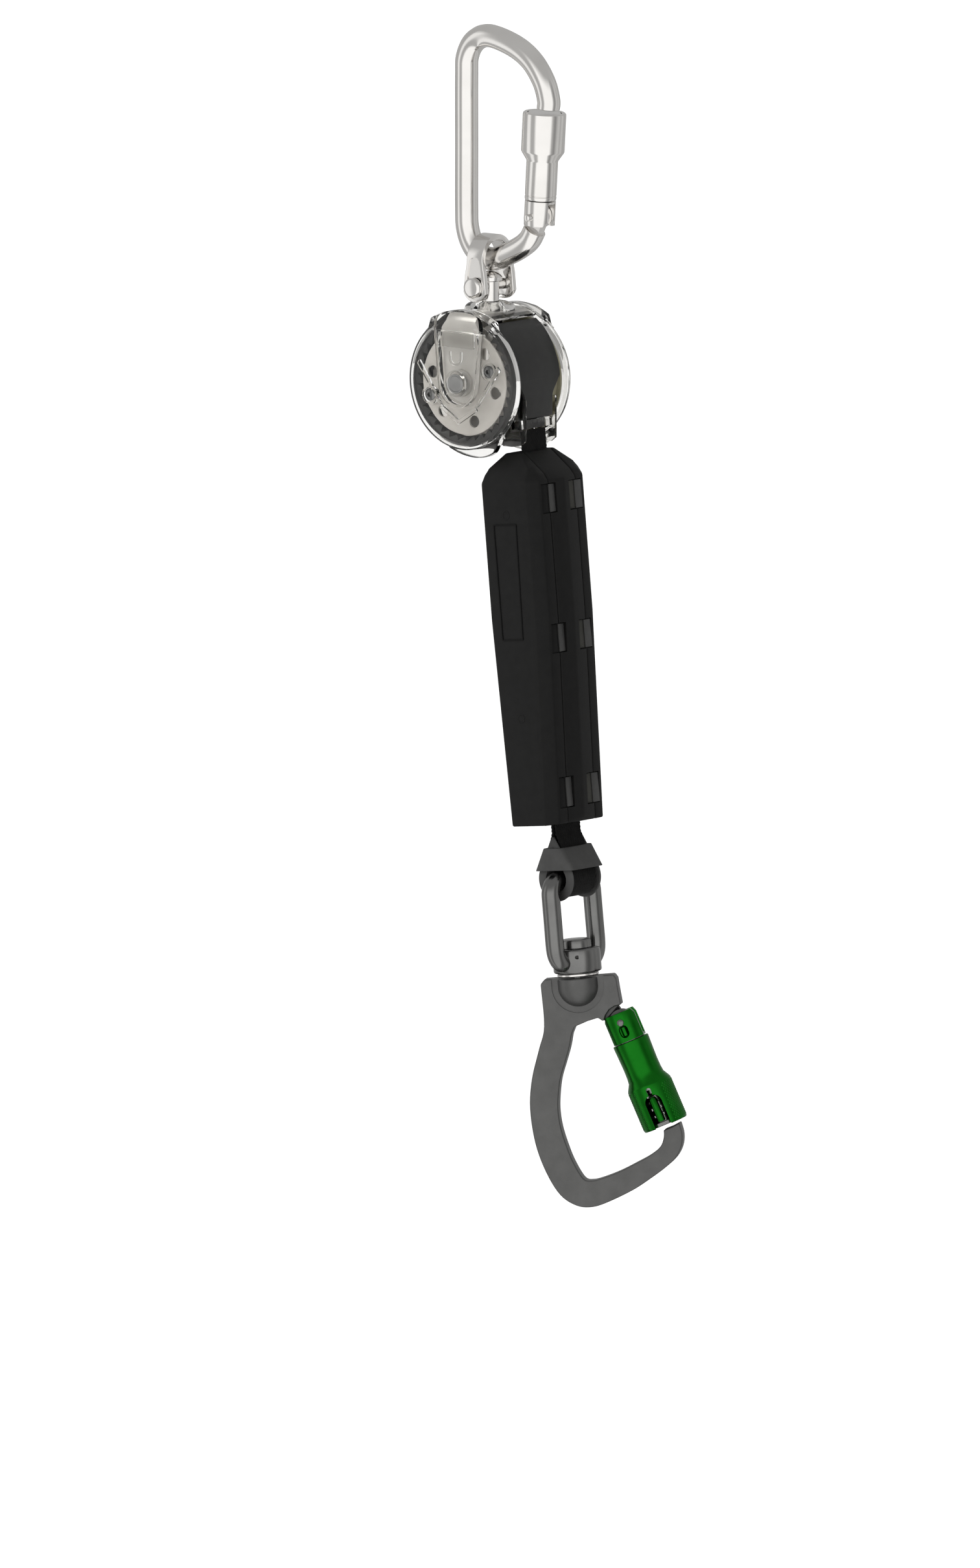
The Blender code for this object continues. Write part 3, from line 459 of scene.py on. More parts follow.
# ---- top carabiner ----
BAR = [(38.2, 142.2), (38.4, 147.0), (35.2, 156.3), (27.4, 166.3), (15.9, 173.2), (0.0, 177.2),
       (-9.5, 174.0), (-14.6, 166.0), (-15.3, 155.0), (-15.3, 120.0), (-15.3, 88.0), (-14.6, 76.5),
       (-10.8, 67.8), (-4.5, 62.9), (3.5, 62.2), (12.5, 65.6), (20.5, 69.6), (26.0, 73.8), (29.4, 79.2)]


def carabiner():
    """The D-shaped bar with its hinge neck, the gate, the gate's rivet and the locking sleeve."""
    bar = draft(wire(smooth([(x, 0, z) for x, z in BAR], 8), BAR_R, 9), DRUM)
    soften(bar, 0.8, 3, 60)
    along = Vector((0.42, 0, 0.907))
    across = Vector((along.z, 0, -along.x)) * 4.5
    neck = [HINGE - along * 10 + across, HINGE + across, HINGE - across, HINGE - along * 10 - across]
    add(bar, DRUM, prism([(p.x, p.z) for p in neck], -2.49, 2.49), rod(6.0, -2.5, 2.5, 'Y', at=HINGE))
    finish(bar, "carabiner_bar", "carabiner", "bright_steel", BRIGHT, "carabiner_body")

    side = [(-CARABINER_EAR, 8.2), (-CARABINER_EAR, -1.6), (-6.2, -4.6), (6.2, -4.6), (CARABINER_EAR, -1.6),
            (CARABINER_EAR, 8.2)]
    ears = draft(prism(side, -8.0, 8.0), C_GATE)
    change(ears, 'INTERSECT', C_GATE, rod(8.0, -9, 9, steps=72))
    cut(ears, C_GATE, box(-12, 12, -2.8, 2.8, -10, 7.0))
    soften(ears, 0.35, 2)
    finish(ears, "carabiner_gate_ears", "carabiner_gate", "bright_steel", BRIGHT)
    tongue = lathe([(0, 7.2), (5.3, 7.2), (5.3, 52.2), (8.3, 52.2), (8.6, 52.5), (8.6, 53.6), (8.2, 54.0),
                    (0, 54.0)])
    simple(tongue, C_GATE, "carabiner_gate_tongue", "carabiner_gate", "bright_steel", BRIGHT,
           "carabiner_gate")
    pin = lathe([(0, -11.4), (1.2, -11.3), (1.7, -11.0), (1.85, -10.5), (1.85, 7.6), (2.6, 7.7), (2.8, 8.0),
                 (2.5, 8.5), (0, 8.6)], 40, 'Y')
    simple(pin, C_GATE, "carabiner_gate_rivet", "carabiner_gate", "bright_steel", BRIGHT,
           "carabiner_gate_pin")
    sleeve = [(5.7, 8.6), (7.5, 8.6), (8.0, 8.8), (8.15, 9.3), (8.15, 10.4), (7.95, 10.6), (7.95, 11.0),
              (8.15, 11.2), (8.15, 28.6), (8.3, 29.2), (10.9, 33.2), (11.2, 34.0), (11.2, 52.8),
              (11.05, 53.6), (10.5, 54.1), (9.2, 54.1), (8.9, 53.8), (8.9, 34.0), (5.7, 34.0)]
    simple(lathe(sleeve, 96), C_GATE, "carabiner_lock_sleeve", "carabiner_sleeve", "bright_steel", BRIGHT,
           "carabiner_sleeve", angle=25)


# ---- clevis and post ----
def clevis():
    """The bent strap over the bar, its headed pin and clip, and the swivel post with its ring."""
    outer = [(-13, 38)] + arc(0, 62, 13, 180, 0, 40) + [(13, 38)]
    inner = [(10, 38)] + arc(0, 62, 10, 0, 180, 40) + [(-10, 38)]
    strap = draft(prism_x(outer + inner, -8, 8), DRUM)
    side = arc(0, PIN_Z, 7.7, 200, 340, 28)
    side += [(6.4, 54), (5.6, 58), (5.1, 62), (5, 77), (-5, 77), (-5.1, 62), (-5.6, 58), (-6.4, 54)]
    change(strap, 'INTERSECT', DRUM, prism(side, -20, 20))
    cut(strap, DRUM, rod(PIN_HOLE_R, -20, 20, 'Y', at=(0, 0, PIN_Z)))
    soften(strap, 0.5, 3)
    slot = arc(0, PIN_Z, 5.9, 215, 325, 20) + [(4.4, 53.6), (3.5, 59.5)] + arc(0, 60.5, 3.2, 0, 180, 12)
    slot += [(-3.5, 59.5), (-4.4, 53.6)]
    for way in (-1, 1):
        cut(strap, DRUM, prism(slot, *sorted((way * 12.45, way * 14))))
    finish(strap, "clevis_strap", "clevis", "bright_steel", BRIGHT, "clevis", angle=28)
    home = DRUM @ Matrix.Translation((0, 0, PIN_Z))
    pin = [(0, -16.1), (3.6, -16.1), (4.6, -15.8), (5.1, -15.3), (5.2, -14.7), (5.2, -13.2), (2.5, -13.2),
           (2.5, 13.3), (2.0, 13.35), (2.0, 14.45), (2.5, 14.5), (2.5, 15.5), (2.2, 15.8), (0, 15.8)]
    simple(lathe(pin, 56, 'Y'), home, "clevis_headed_pin", "clevis", "bright_steel", BRIGHT, "clevis_pin")
    washer = [(2.1, 13.4), (4.5, 13.4), (4.7, 13.6), (4.7, 14.2), (4.5, 14.4), (2.1, 14.4)]
    clip = draft(lathe(washer, 48, 'Y'), home)
    cut(clip, home, box(-1.5, 1.5, 13, 15, -6, 0))
    finish(clip, "clevis_snap_clip", "clevis", "bright_steel", BRIGHT, "clevis_pin_clip")

    dome = [(7.8 * cos(radians(a)), PIN_Z + 7.8 * sin(radians(a))) for a in range(36, 90, 4)]
    shaft = [(0, 27.6), (4.7, 27.6), (4.7, 50.4), (4.9, 50.7), (6.2, 50.9), (6.3, 51.3)]
    post = draft(lathe(shaft + dome + [(0, PIN_Z + 7.8)], 64), DRUM)
    cut(post, DRUM, rod(PIN_HOLE_R, -20, 20, 'Y', at=(0, 0, PIN_Z)))
    finish(post, "swivel_shaft", "swivel_post", "bright_steel", BRIGHT, "swivel_post")
    bush = [(4.85, 31.6), (6.45, 31.6), (6.45, 38.6), (6.2, 39.1), (5.8, 39.2), (4.85, 39.2)]
    simple(lathe(bush), DRUM, "swivel_ring", "housing", "bright_steel", BRIGHT, "swivel_bush")


# ---- housing ----
def cover(side_name, way):
    """One clear cover: a dish, a hood over the load strap, a raised tongue, ribs and screw bosses."""
    dish = [(0, 25.0), (25.5, 25.0), (26.3, 25.25), (27.4, 25.25), (28.2, 24.95), (30.2, 24.8), (31.8, 24.5),
            (33.6, 23.8), (34.8, 22.7), (35.4, 21.2), (35.45, 19.9), (35.2, 19.0), (34.9, 18.3), (34.4, 17.8),
            (33.0, 17.8), (33.6, 19.4), (33.7, 21.0), (33.0, 22.2), (31.5, 23.1), (28, 23.4), (0, 23.4)]
    shell = draft(lathe([(r, way * y) for r, y in dish], 120, 'Y'), DRUM)

    def slab(outline, y0, y1):
        return prism(outline, *sorted((way * y0, way * y1)))

    ridge = arc(0, 0, 34.2, 48, 52, 3) + arc(0, 0, 37.6, 59, 121, 36) + arc(0, 0, 34.2, 128, 132, 3)
    hood = draft(slab(ridge + arc(0, 0, 33.2, 127, 53, 40), 17.9, 24.6), DRUM)
    soften(hood, 0.9, 4)
    combine(shell, 'UNION', hood)
    bridge = arc(0, 0, 36.6, 61, 119, 39) + arc(0, 0, 28.7, 126, 54, 38)
    add(shell, DRUM, slab(bridge, 23.5, 24.5))
    room = slab(arc(0, 0, 36.0, 57, 123, 36) + arc(0, 0, 29.5, 123, 57, 36), 17.0, 23.35)
    cut(shell, DRUM, room)
    tongue = arc(0, 0, 12.5, 186, 354, 40) + [(14.8, 24), (14.8, 28), (-14.8, 28), (-14.8, 24)]
    raised = draft(slab(tongue, 24.2, 28.0), DRUM)
    soften(raised, 0.9, 4)
    crown = draft(prism_x([(way * y, z) for y, z in dome_side()], -20, 20), DRUM)
    top = smooth([(14.7, 27.2), (14.6, 30.4), (13.4, 33.6), (10.4, 35.8), (6.0, 37.0), (0, 37.4),
                  (-6.0, 37.0), (-10.4, 35.8), (-13.4, 33.6), (-14.6, 30.4), (-14.7, 27.2)], 4)
    change(crown, 'INTERSECT', DRUM, prism(top, -30, 30))
    soften(crown, 1.3, 4, 35)
    combine(shell, 'UNION', raised)
    combine(shell, 'UNION', crown)
    keel = smooth([(-9.5, -34.2), (-2.0, -37.0), (6.0, -38.3), (12.4, -38.0), (17.5, -36.4), (21.0, -33.6),
                   (25.2, -25.0)], 4)
    low = draft(slab(keel + arc(0, 0, 33.6, -45, -105, 20), 18.3, 22.6), DRUM)
    soften(low, 0.8, 3)
    combine(shell, 'UNION', low)
    for sign in (-1, 1):
        rib = [(sign * 10.5, -12.6), (sign * 12.4, -11.4), (sign * 27.0, 8.5), (sign * 25.4, 10.6)]
        add(shell, DRUM, slab(rounded(rib, 0.5, 2), COVER_FACE, RIB_TOP))
    foot = [(-11, -12), (0, -19.0), (11, -12), (12.2, -13.4), (0, -21.2), (-12.2, -13.4)]
    add(shell, DRUM, slab(rounded(foot, 0.6, 2), COVER_FACE, RIB_TOP))
    for x, z in SCREWS:
        boss = [(3.6, COVER_FACE), (5.0, COVER_FACE), (4.8, 26.0), (3.8, 26.0)]
        ring = lathe([(r, way * y) for r, y in boss], 40, 'Y')
        ring.transform(Matrix.Translation((x, 0, z)))
        add(shell, DRUM, ring)
        if way < 0:
            cut(shell, DRUM, rod(1.6, -26.5, -22, 'Y', 24, (x, 0, z)))
    cut(shell, DRUM, rod(8.2, *sorted((way * 22.0, way * 26.4)), 'Y'))
    bowl = arc(0, 0, 11.0, 190, 350, 24) + [(13.2, 22), (12.4, 26), (-12.4, 26), (-13.2, 22)]
    cut(shell, DRUM, slab(rounded(bowl, 0.8, 2), 23.0, 26.6))
    finish(shell, f"{side_name}_shell", "housing", "clear_plastic", CLEAR, side_name, angle=26)


def dome_side():
    """Side view of the tongue's domed top: depth from the middle, height."""
    bend = smooth([(24.2, 37.2), (25.7, 35.9), (26.9, 33.4), (27.6, 30.6), (27.95, 27.8)], 4)
    return [(23.9, 27), (23.9, 37.4)] + bend + [(27.9, 27)]


def housing_trim():
    """Badge, blank plate, keyhole boss and screws on the front tongue."""
    badge = lathe([(0, -28.9), (3.9, -28.9), (4.1, -28.75), (4.3, -28.9), (4.8, -28.9), (5.0, -28.7),
                   (5.0, -28.1), (0, -28.1)], 64, 'Y')
    simple(badge, DRUM, "centre_medallion", "housing", "bright_steel", SPRING_STEEL, "centre_badge")
    rim = [(5.6, TONGUE_FACE), (7.0, TONGUE_FACE), (6.9, -28.5), (6.5, -28.7), (6.0, -28.7), (5.7, -28.5)]
    simple(lathe(rim, 64, 'Y'), DRUM, "medallion_rim", "housing", "clear_plastic", CLEAR)
    outside = rounded([(-12.6, 18.6), (12.4, 18.6), (12.4, 27.2), (-12.6, 27.2)], 1.2)
    inside = rounded([(-11.7, 19.5), (11.5, 19.5), (11.5, 26.3), (-11.7, 26.3)], 0.8)
    plate = draft(prism(outside, -28.75, TONGUE_FACE), DRUM)
    cut(plate, DRUM, prism(inside, -28.8, -28.2))
    soften(plate, 0.12, 2)
    finish(plate, "blank_name_plate", "housing", "clear_plastic", CLEAR)
    notch = arc(0, 13.5, 4.3, 180, 360, 24) + [(4.3, 16.6), (3.0, 16.6)] + arc(0, 13.5, 3.0, 0, -180, 20)
    notch += [(-3.0, 16.6), (-4.3, 16.6)]
    simple(prism(notch, -28.7, TONGUE_FACE), DRUM, "tongue_catch", "housing", "clear_plastic", CLEAR,
           bevel=0.15)
    head = [(0, -23.0), (1.5, -23.0), (1.5, -25.1), (3.0, -25.1), (3.2, -25.3), (3.2, -25.7), (2.7, -26.2),
            (1.5, -26.5), (0, -26.5)]
    for i, (x, z) in enumerate(SCREWS):
        home = DRUM @ Matrix.Translation((x, 0, z))
        screw = draft(lathe(head, 40, 'Y'), home)
        socket = [(1.3 * cos(tau * k / 6), 1.3 * sin(tau * k / 6)) for k in range(6)]
        cut(screw, home, prism(socket, -27, -25.5))
        finish(screw, f"cover_screw_head_{i + 1}", "housing", "bright_steel", LINK_STEEL,
               f"cover_screw_{i + 1}")


def load_frame():
    """Light metal strap that carries the axle, wide under the tongues and narrow over the top."""
    over = arc(19.0, 30.0, 4.2, 0, 90, 8)
    under = arc(18.6, 29.8, 2.0, 90, 0, 6)
    outline = [(-23.0, -11)] + [(-y, z) for y, z in over]
    outline += [(y, z) for y, z in reversed(over)] + [(23.0, -11), (21.2, -11)]
    outline += [(y + 0.6, z) for y, z in reversed(under)]
    outline += [(-y - 0.6, z) for y, z in under] + [(-21.2, -11)]
    strap = draft(prism_x(outline, -12.5, 12.5), DRUM)
    face = arc(0, 0, 10.2, 188, 352, 28)
    face += [(12.3, 24), (12.0, 28.0), (9.4, 31.5), (9.4, 36), (-9.4, 36), (-9.4, 31.5), (-12.0, 28.0),
             (-12.3, 24)]
    change(strap, 'INTERSECT', DRUM, prism(face, -30, 30))
    cut(strap, DRUM, rod(4.05, -30, 30, 'Y'), rod(6.6, 30, 36))
    soften(strap, 0.35, 2)
    finish(strap, "load_strap", "housing", "bright_steel", FRAME_METAL, "load_frame")


def housing():
    """Both covers and their trim, the load strap, the bands, the cap and the webbing outlet."""
    for side_name, way in (("front_cover", -1), ("rear_cover", 1)):
        cover(side_name, way)
    housing_trim()
    load_frame()
    outside = smooth([(16.2, 31.0), (21.4, 26.8), (26.0, 20.7), (29.3, 14.0), (31.4, 7.0), (32.0, 0.0)], 8)
    inside = [point * (1 - 1.55 / point.length) for point in map(Vector, outside)]
    band = outside + [(32.0, -17.5), (30.4, -17.5)] + [tuple(p) for p in reversed(inside)]
    guard = draft(prism(band, -BAND_HALF, BAND_HALF), DRUM)
    corner = rounded([(11.3, -6), (17.6, 3), (22, 3), (22, -20), (11.3, -20)], 2.0)
    for way in (-1, 1):
        cut(guard, DRUM, prism_x([(way * y, z) for y, z in corner], 28, 36))
    soften(guard, 0.45, 3)
    finish(guard, "side_band", "housing", "dark_plastic", DARK, "guard_band")
    back = arc(0, 0, 35.0, 117.5, 300, 90) + arc(0, 0, 33.5, 300, 117.5, 90)
    simple(prism(back, -BAND_HALF, BAND_HALF), DRUM, "back_band", "housing", "dark_plastic", DARK,
           "guard_band_back", bevel=0.45)
    roof = arc(0, 0, 37.2, 64, 116, 40) + arc(0, 0, 35.6, 116, 64, 40)
    cap = draft(prism(roof, -BAND_HALF, BAND_HALF), DRUM)
    collar = [(0, 35.7), (13.2, 35.7), (13.1, 36.6), (12.6, 37.8), (11.7, 38.7), (10.6, 39.3), (9.2, 39.8),
              (7.9, 40.1), (0, 40.1)]
    add(cap, DRUM, lathe(collar, 72))
    cut(cap, DRUM, rod(6.75, 30, 45), rod(35.62, -20, 20, 'Y', 160))
    soften(cap, 0.3, 2, 40)
    finish(cap, "top_dome", "housing", "clear_plastic", CLEAR, "top_cap")
    guide = draft(box(-3.8, 3.8, -13.2, 13.2, 6.5, 11.0), STRAP)
    cut(guide, STRAP, box(-2.2, 2.2, -11.0, 11.0, 5.0, 12.0))
    cheek = arc(0, 0, 30.6, -14, -50, 16)
    cheek += [(18.6, -30.0), (19.0, -32.2), (25.0, -32.2), (30.5, -31.2), (33.3, -29.0), (33.3, -7.4)]
    for way in (-1, 1):
        add(guide, DRUM, prism(cheek, *sorted((way * 11.7, way * 13.15))))
    soften(guide, 0.35, 3)
    finish(guide, "outlet_lips", "housing", "grey_plastic", CLEAR, "webbing_guide")


def ratchet():
    """The dark toothed ring, open at the top, with a thin side wall, and the olive spring case."""
    first, last = RING_SPAN
    span = (first - last) / TEETH
    ring = arc(0, 0, 32.5, first, last, 120)
    for i in range(TEETH):
        start = last + i * span
        ring += arc(0, 0, 28.0, start, start + 0.2 * span, 2)
        ring += arc(0, 0, 30.2, start + 0.3 * span, start + 0.32 * span, 1)
    ring += arc(0, 0, 28.0, first - 0.2, first, 1)
    toothed = draft(prism(ring, -20.9, -17.9), DRUM)
    wall = prism(arc(0, 0, 32.5, first, last, 110) + arc(0, 0, 31.4, last, first, 110), -22.3, -18.5)
    add(toothed, DRUM, wall)
    soften(toothed, 0.2, 2)
    finish(toothed, "toothed_ring", "housing", "dark_plastic", DARK_RING, "ratchet_ring")
    case = [(6.6, 13.2), (29.6, 13.2), (29.9, 13.5), (29.9, 17.9), (32.1, 17.9), (32.4, 18.2), (32.4, 20.3),
            (32.1, 20.6), (28.8, 20.6), (28.6, 20.4), (28.6, 14.6), (6.6, 14.6)]
    simple(lathe(case, 120, 'Y'), DRUM, "spring_case", "housing", "olive_plastic", OLIVE, "spring_cassette")


def drum():
    """The light brake plate with its six holes, and the wound webbing."""
    plate = [(4.15, -20.9), (12.5, -20.9), (13.0, -20.6), (13.6, -20.9), (27.1, -20.9), (27.4, -20.6),
             (27.4, -19.9), (8.2, -19.9), (8.2, -12.4), (4.15, -12.4)]
    disc = draft(lathe(plate, 96, 'Y'), DRUM)
    for i in range(6):
        a = radians(49 + 60 * i)
        cut(disc, DRUM, rod(3.25, -22, -18, 'Y', 32, (21 * cos(a), 0, 21 * sin(a))))
    for name in ("brake_pawl_1_swing", "brake_pawl_2_swing"):
        spot = (place(name) - place("drum_spin")) / MM
        cut(disc, DRUM, rod(1.5, -22, -18, 'Y', 24, spot))
    finish(disc, "brake_plate", "drum", "disc_metal", DISC_METAL, "brake_disc")
    core, outer = COIL_R
    pitch = (outer - core) / COIL_TURNS
    side = []
    for k in range(COIL_TURNS):
        r = core + pitch * k
        side += [(r + 0.1 * pitch, 9.75), (r + 0.5 * pitch, WEB_HALF), (r + 0.9 * pitch, 9.75)]
    profile = [(r, -y) for r, y in side] + [(outer, -9.2), (outer, 9.2)] + list(reversed(side))
    simple(lathe(profile, 96, 'Y'), DRUM, "wound_webbing", "drum", "webbing", WEB, "webbing_coil")


# ---- webbing ----
def woven(path):
    """A woven strip along an XZ path, raised and sunk in alternate cells."""
    pts = [Vector((x, z)) for x, z in path]
    fine = []
    for a, b in zip(pts, pts[1:]):
        steps = max(1, round((b - a).length / WEAVE_STEP))
        fine += [a.lerp(b, k / steps) for k in range(steps)]
    fine.append(pts[-1])
    loops = []
    for i, spot in enumerate(fine):
        ahead = (fine[min(i + 1, len(fine) - 1)] - fine[max(i - 1, 0)]).normalized()
        normal = Vector((ahead.y, -ahead.x))
        ring = []
        for face in (1, -1):
            columns = range(WEAVE_COLUMNS + 1) if face > 0 else range(WEAVE_COLUMNS, -1, -1)
            for c in columns:
                edge = c in (0, WEAVE_COLUMNS)
                lift = 0.0 if edge else WEAVE_RELIEF * (1 if (c // 2 + i // 2) % 2 else -1)
                thick = WEB_HALF_THICK * (0.55 if edge else 1)
                point = spot + normal * face * (thick - WEAVE_RELIEF + lift)
                ring.append((point.x, WEB_HALF * (2 * c / WEAVE_COLUMNS - 1), point.y))
        loops.append(ring)
    return loft(loops)


def webbing():
    """The run in the housing, the tail at the outlet, the lead in the pack and the eye."""
    run = woven([(0, 31.5), (0, 6.2)])
    simple(run, STRAP, "webbing_inside", "housing", "webbing", WEB, "webbing_run", angle=80)
    tail = woven([(0, 5.6), (0, -5.0)])
    obj = simple(tail, STRAP, "webbing_outlet", None, "webbing", WEB, "webbing_tail", angle=80)
    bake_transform(obj)
    lead = woven([(0, -5.2), (0, -33.0)])
    simple(lead, STRAP, "webbing_in_pack", "absorber", "webbing", WEB, "webbing_lead", angle=80)
    wrap = [(-1.25, -190.0), (-1.25, -202.5)] + arc(0, -EYE_S, 9.05, 158, 382, 48)
    wrap += [(1.25, -202.5), (1.25, -190.0)]
    simple(woven(wrap), STRAP, "webbing_eye", "absorber", "webbing", WEB, "webbing_loop", angle=80)


# ---- absorber pack ----
def pack_middle(s):
    """X of the pack's middle at s along the strap."""
    return PACK_X + PACK_SKEW * (s - PACK_SHOULDER) / (PACK_END - PACK_SHOULDER)


def pack_half(y, s, inset=0.0):
    """Half-width of the pack at depth y and s along the strap."""
    depth = [(0.0, 21.3), (PARTING, 19.7), (17.8, 19.05), (24.1, 14.0)]
    y = abs(y)
    for (y0, w0), (y1, w1) in zip(depth, depth[1:]):
        if y <= y1 + 1e-6:
            half = w0 + (w1 - w0) * (y - y0) / (y1 - y0)
            break
    taper = max(0.0, (s - PACK_WAIST) / (PACK_END - PACK_WAIST)) * PACK_TAPER
    return min(half - taper, 5.0 + 1.1 * (s - PACK_TOP), 16.0 + (PACK_END - s)) - inset


def pack_depth(y, s):
    """Depth of the pack's face y, drawn in towards the top."""
    keep = min(1.0, 0.2 + 0.8 * (s - PACK_TOP) / (PACK_SHOULDER - PACK_TOP))
    over = max(0.0, abs(y) - PARTING)
    return y if over == 0 else (abs(y) - over * (1 - keep)) * (1 if y > 0 else -1)


def pack_loft(ys, levels, inset=0.0):
    """The pack's shape between depths ys and through levels along the strap."""
    loops = []
    for s in levels:
        right = [(pack_middle(s) + pack_half(y, s, inset), pack_depth(y, s), -s) for y in ys]
        left = [(pack_middle(s) - pack_half(y, s, inset), pack_depth(y, s), -s) for y in reversed(ys)]
        loops.append(right + left)
    return loft(loops)


def pack_hollow():
    """The room inside the pack."""
    return pack_loft((-21.3, -17.8, 0, 17.8, 21.3), (PACK_SHOULDER, 24, PACK_WAIST, PACK_END - 4), PACK_WALL)


def clip_face(s):
    """X of the pack's side at a parting line, s along the strap."""
    return pack_middle(s) + pack_half(PARTING, s)


def pack_shell(name, ys):
    """One of the three shells, hollow, with openings for the webbing and seats for the clips."""
    levels = (PACK_TOP, *PACK_SLOPE, PACK_SHOULDER, *range(30, 171, 20), PACK_END - 2.5, PACK_END)
    shell = draft(pack_loft(ys, levels), STRAP)
    soften(shell, 0.9, 4, 12)
    cut(shell, STRAP, pack_hollow(), box(-1.5, 1.5, -10.2, 10.2, -30, 0),
        box(-3.2, 3.2, -10.2, 10.2, -205, -188))
    for y0, y1 in ((-16.9, -6.3), (3.9, 15.7)):
        if ys[0] < y1 and ys[-1] > y0:
            for s0, s1 in CLIP_S:
                face = clip_face(s1)
                cut(shell, STRAP, box(face - 1.2, face + 4, y0, y1, -s1, -s0))
    finish(shell, f"{name}_shell", "absorber", "black_plastic", BLACK, name, angle=24)


def pack():
    """The three shells, the latch clips, the lips inside the parting lines and the raised marks."""
    shells = (("absorber_front_cover", (-24.1, -17.8, -PARTING)), ("absorber_body", (-10.9, 0, 10.9)),
              ("absorber_rear_cover", (PARTING, 17.8, 24.1)))
    for name, ys in shells:
        pack_shell(name, ys)
    rows = (("front", -16.7, -11.1, -6.5, MARK), ("rear", 4.1, 10.0, 15.5, TAB_DARK))
    for row, y0, split, y1, dark in rows:
        for i, (s0, s1) in enumerate(CLIP_S):
            face = clip_face(s1)
            tab = draft(box(face - 1.15, face - 0.15, split, y1, 0.5 - s1, -0.5 - s0), STRAP)
            soften(tab, 0.2, 2)
            finish(tab, f"latch_tab_{row}_{i + 1}", "absorber", "grey_plastic", TAB,
                   f"latch_clip_{row}_{i + 1}")
            pocket = draft(box(face - 1.15, face - 0.6, y0, split - 0.2, 0.5 - s1, -0.5 - s0), STRAP)
            soften(pocket, 0.15, 2)
            finish(pocket, f"latch_recess_{row}_{i + 1}", "absorber", "grey_plastic", dark)
    for side, ys in (("front", (-12.0, -10.1)), ("rear", (10.1, 12.0))):
        levels = (6.6, *PACK_SLOPE, PACK_SHOULDER, PACK_WAIST, PACK_END - 1.4)
        lip = draft(pack_loft(ys, levels, 1.4), STRAP)
        cut(lip, STRAP, pack_hollow())
        finish(lip, f"parting_lip_{side}", "absorber", "black_plastic", MARK)
    outer = rounded([(-11.6, -41), (3.6, -41), (1.9, -101), (-11.9, -101)], 0.6, 3)
    inner = rounded([(-11.0, -41.6), (3.0, -41.6), (1.3, -100.4), (-11.3, -100.4)], 0.4, 3)
    frame_mark = draft(prism(outer, -24.5, -23.9), STRAP)
    cut(frame_mark, STRAP, prism(inner, -25, -23))
    finish(frame_mark, "blank_raised_frame", "absorber", "black_plastic", MARK)
    ring = [(1.9, -24.3), (2.3, -24.3), (2.45, -24.15), (2.45, -23.9), (1.7, -23.9), (1.7, -24.1)]
    for i, s in enumerate(MOULD_MARK_S):
        mark = lathe(ring, 40, 'Y')
        mark.transform(Matrix.Translation((pack_middle(s) + 0.4, 0, -s)))
        simple(mark, STRAP, f"mould_mark_{i + 1}", "absorber", "black_plastic", BLACK)


# ---- thimble and link ----
def teardrop(r, tip):
    """Outline of the thimble: round below, coming to a blunt tip above."""
    lean = asin(r / tip) * 180 / pi
    return arc(0, -EYE_S, r, lean, -180 - lean, 56) + [(-0.8, tip - EYE_S), (0.8, tip - EYE_S)]


def thimble():
    """The grooved thimble with two raised flanges."""
    layers = [(-11.6, 10.9, 21.4), (-11.45, 11.3, 22), (-10.85, 11.3, 22), (-10.6, 10.9, 21.4),
              (-10.6, 8.0, 17), (10.6, 8.0, 17), (10.6, 10.9, 21.4), (10.85, 11.3, 22), (11.45, 11.3, 22),
              (11.6, 10.9, 21.4)]
    body = draft(loft([[(x, y, z) for x, z in teardrop(r, tip)] for y, r, tip in layers]), STRAP)
    cut(body, STRAP, rod(EYE_R, -20, 20, 'Y', 56, (0, 0, -EYE_S)))
    for way in (-1, 1):
        cut(body, STRAP, prism(teardrop(EYE_R, 14.5), *sorted((way * 11.0, way * 12.5))))
    soften(body, 0.2, 2, 40)
    finish(body, "thimble_body", "absorber", "grey_plastic", TAB, "thimble", angle=28)


def band_loop(half_x, half_y, z, r=3.0):
    """A level rectangle with round corners."""
    out = []
    for k, (sx, sy) in enumerate(((1, 1), (-1, 1), (-1, -1), (1, -1))):
        for a in range(0, 91, 15):
            t = radians(90 * k + a)
            out.append((sx * (half_x - r) + r * cos(t), sy * (half_y - r) + r * sin(t), z))
    return out


def clasp():
    """The flared band round the thimble's tip."""
    shell = draft(loft([band_loop(12.9, 13.4, -221.3), band_loop(6.6, 13.4, -209.7)]), STRAP)
    room = loft([band_loop(12.0, 12.0, -222.3, 1.2), band_loop(4.3, 12.0, -208.7, 1.2)])
    cut(shell, STRAP, room)
    soften(shell, 0.35, 3, 40)
    finish(shell, "thimble_clasp", "absorber", "grey_plastic", TAB, "thimble_band", angle=28)


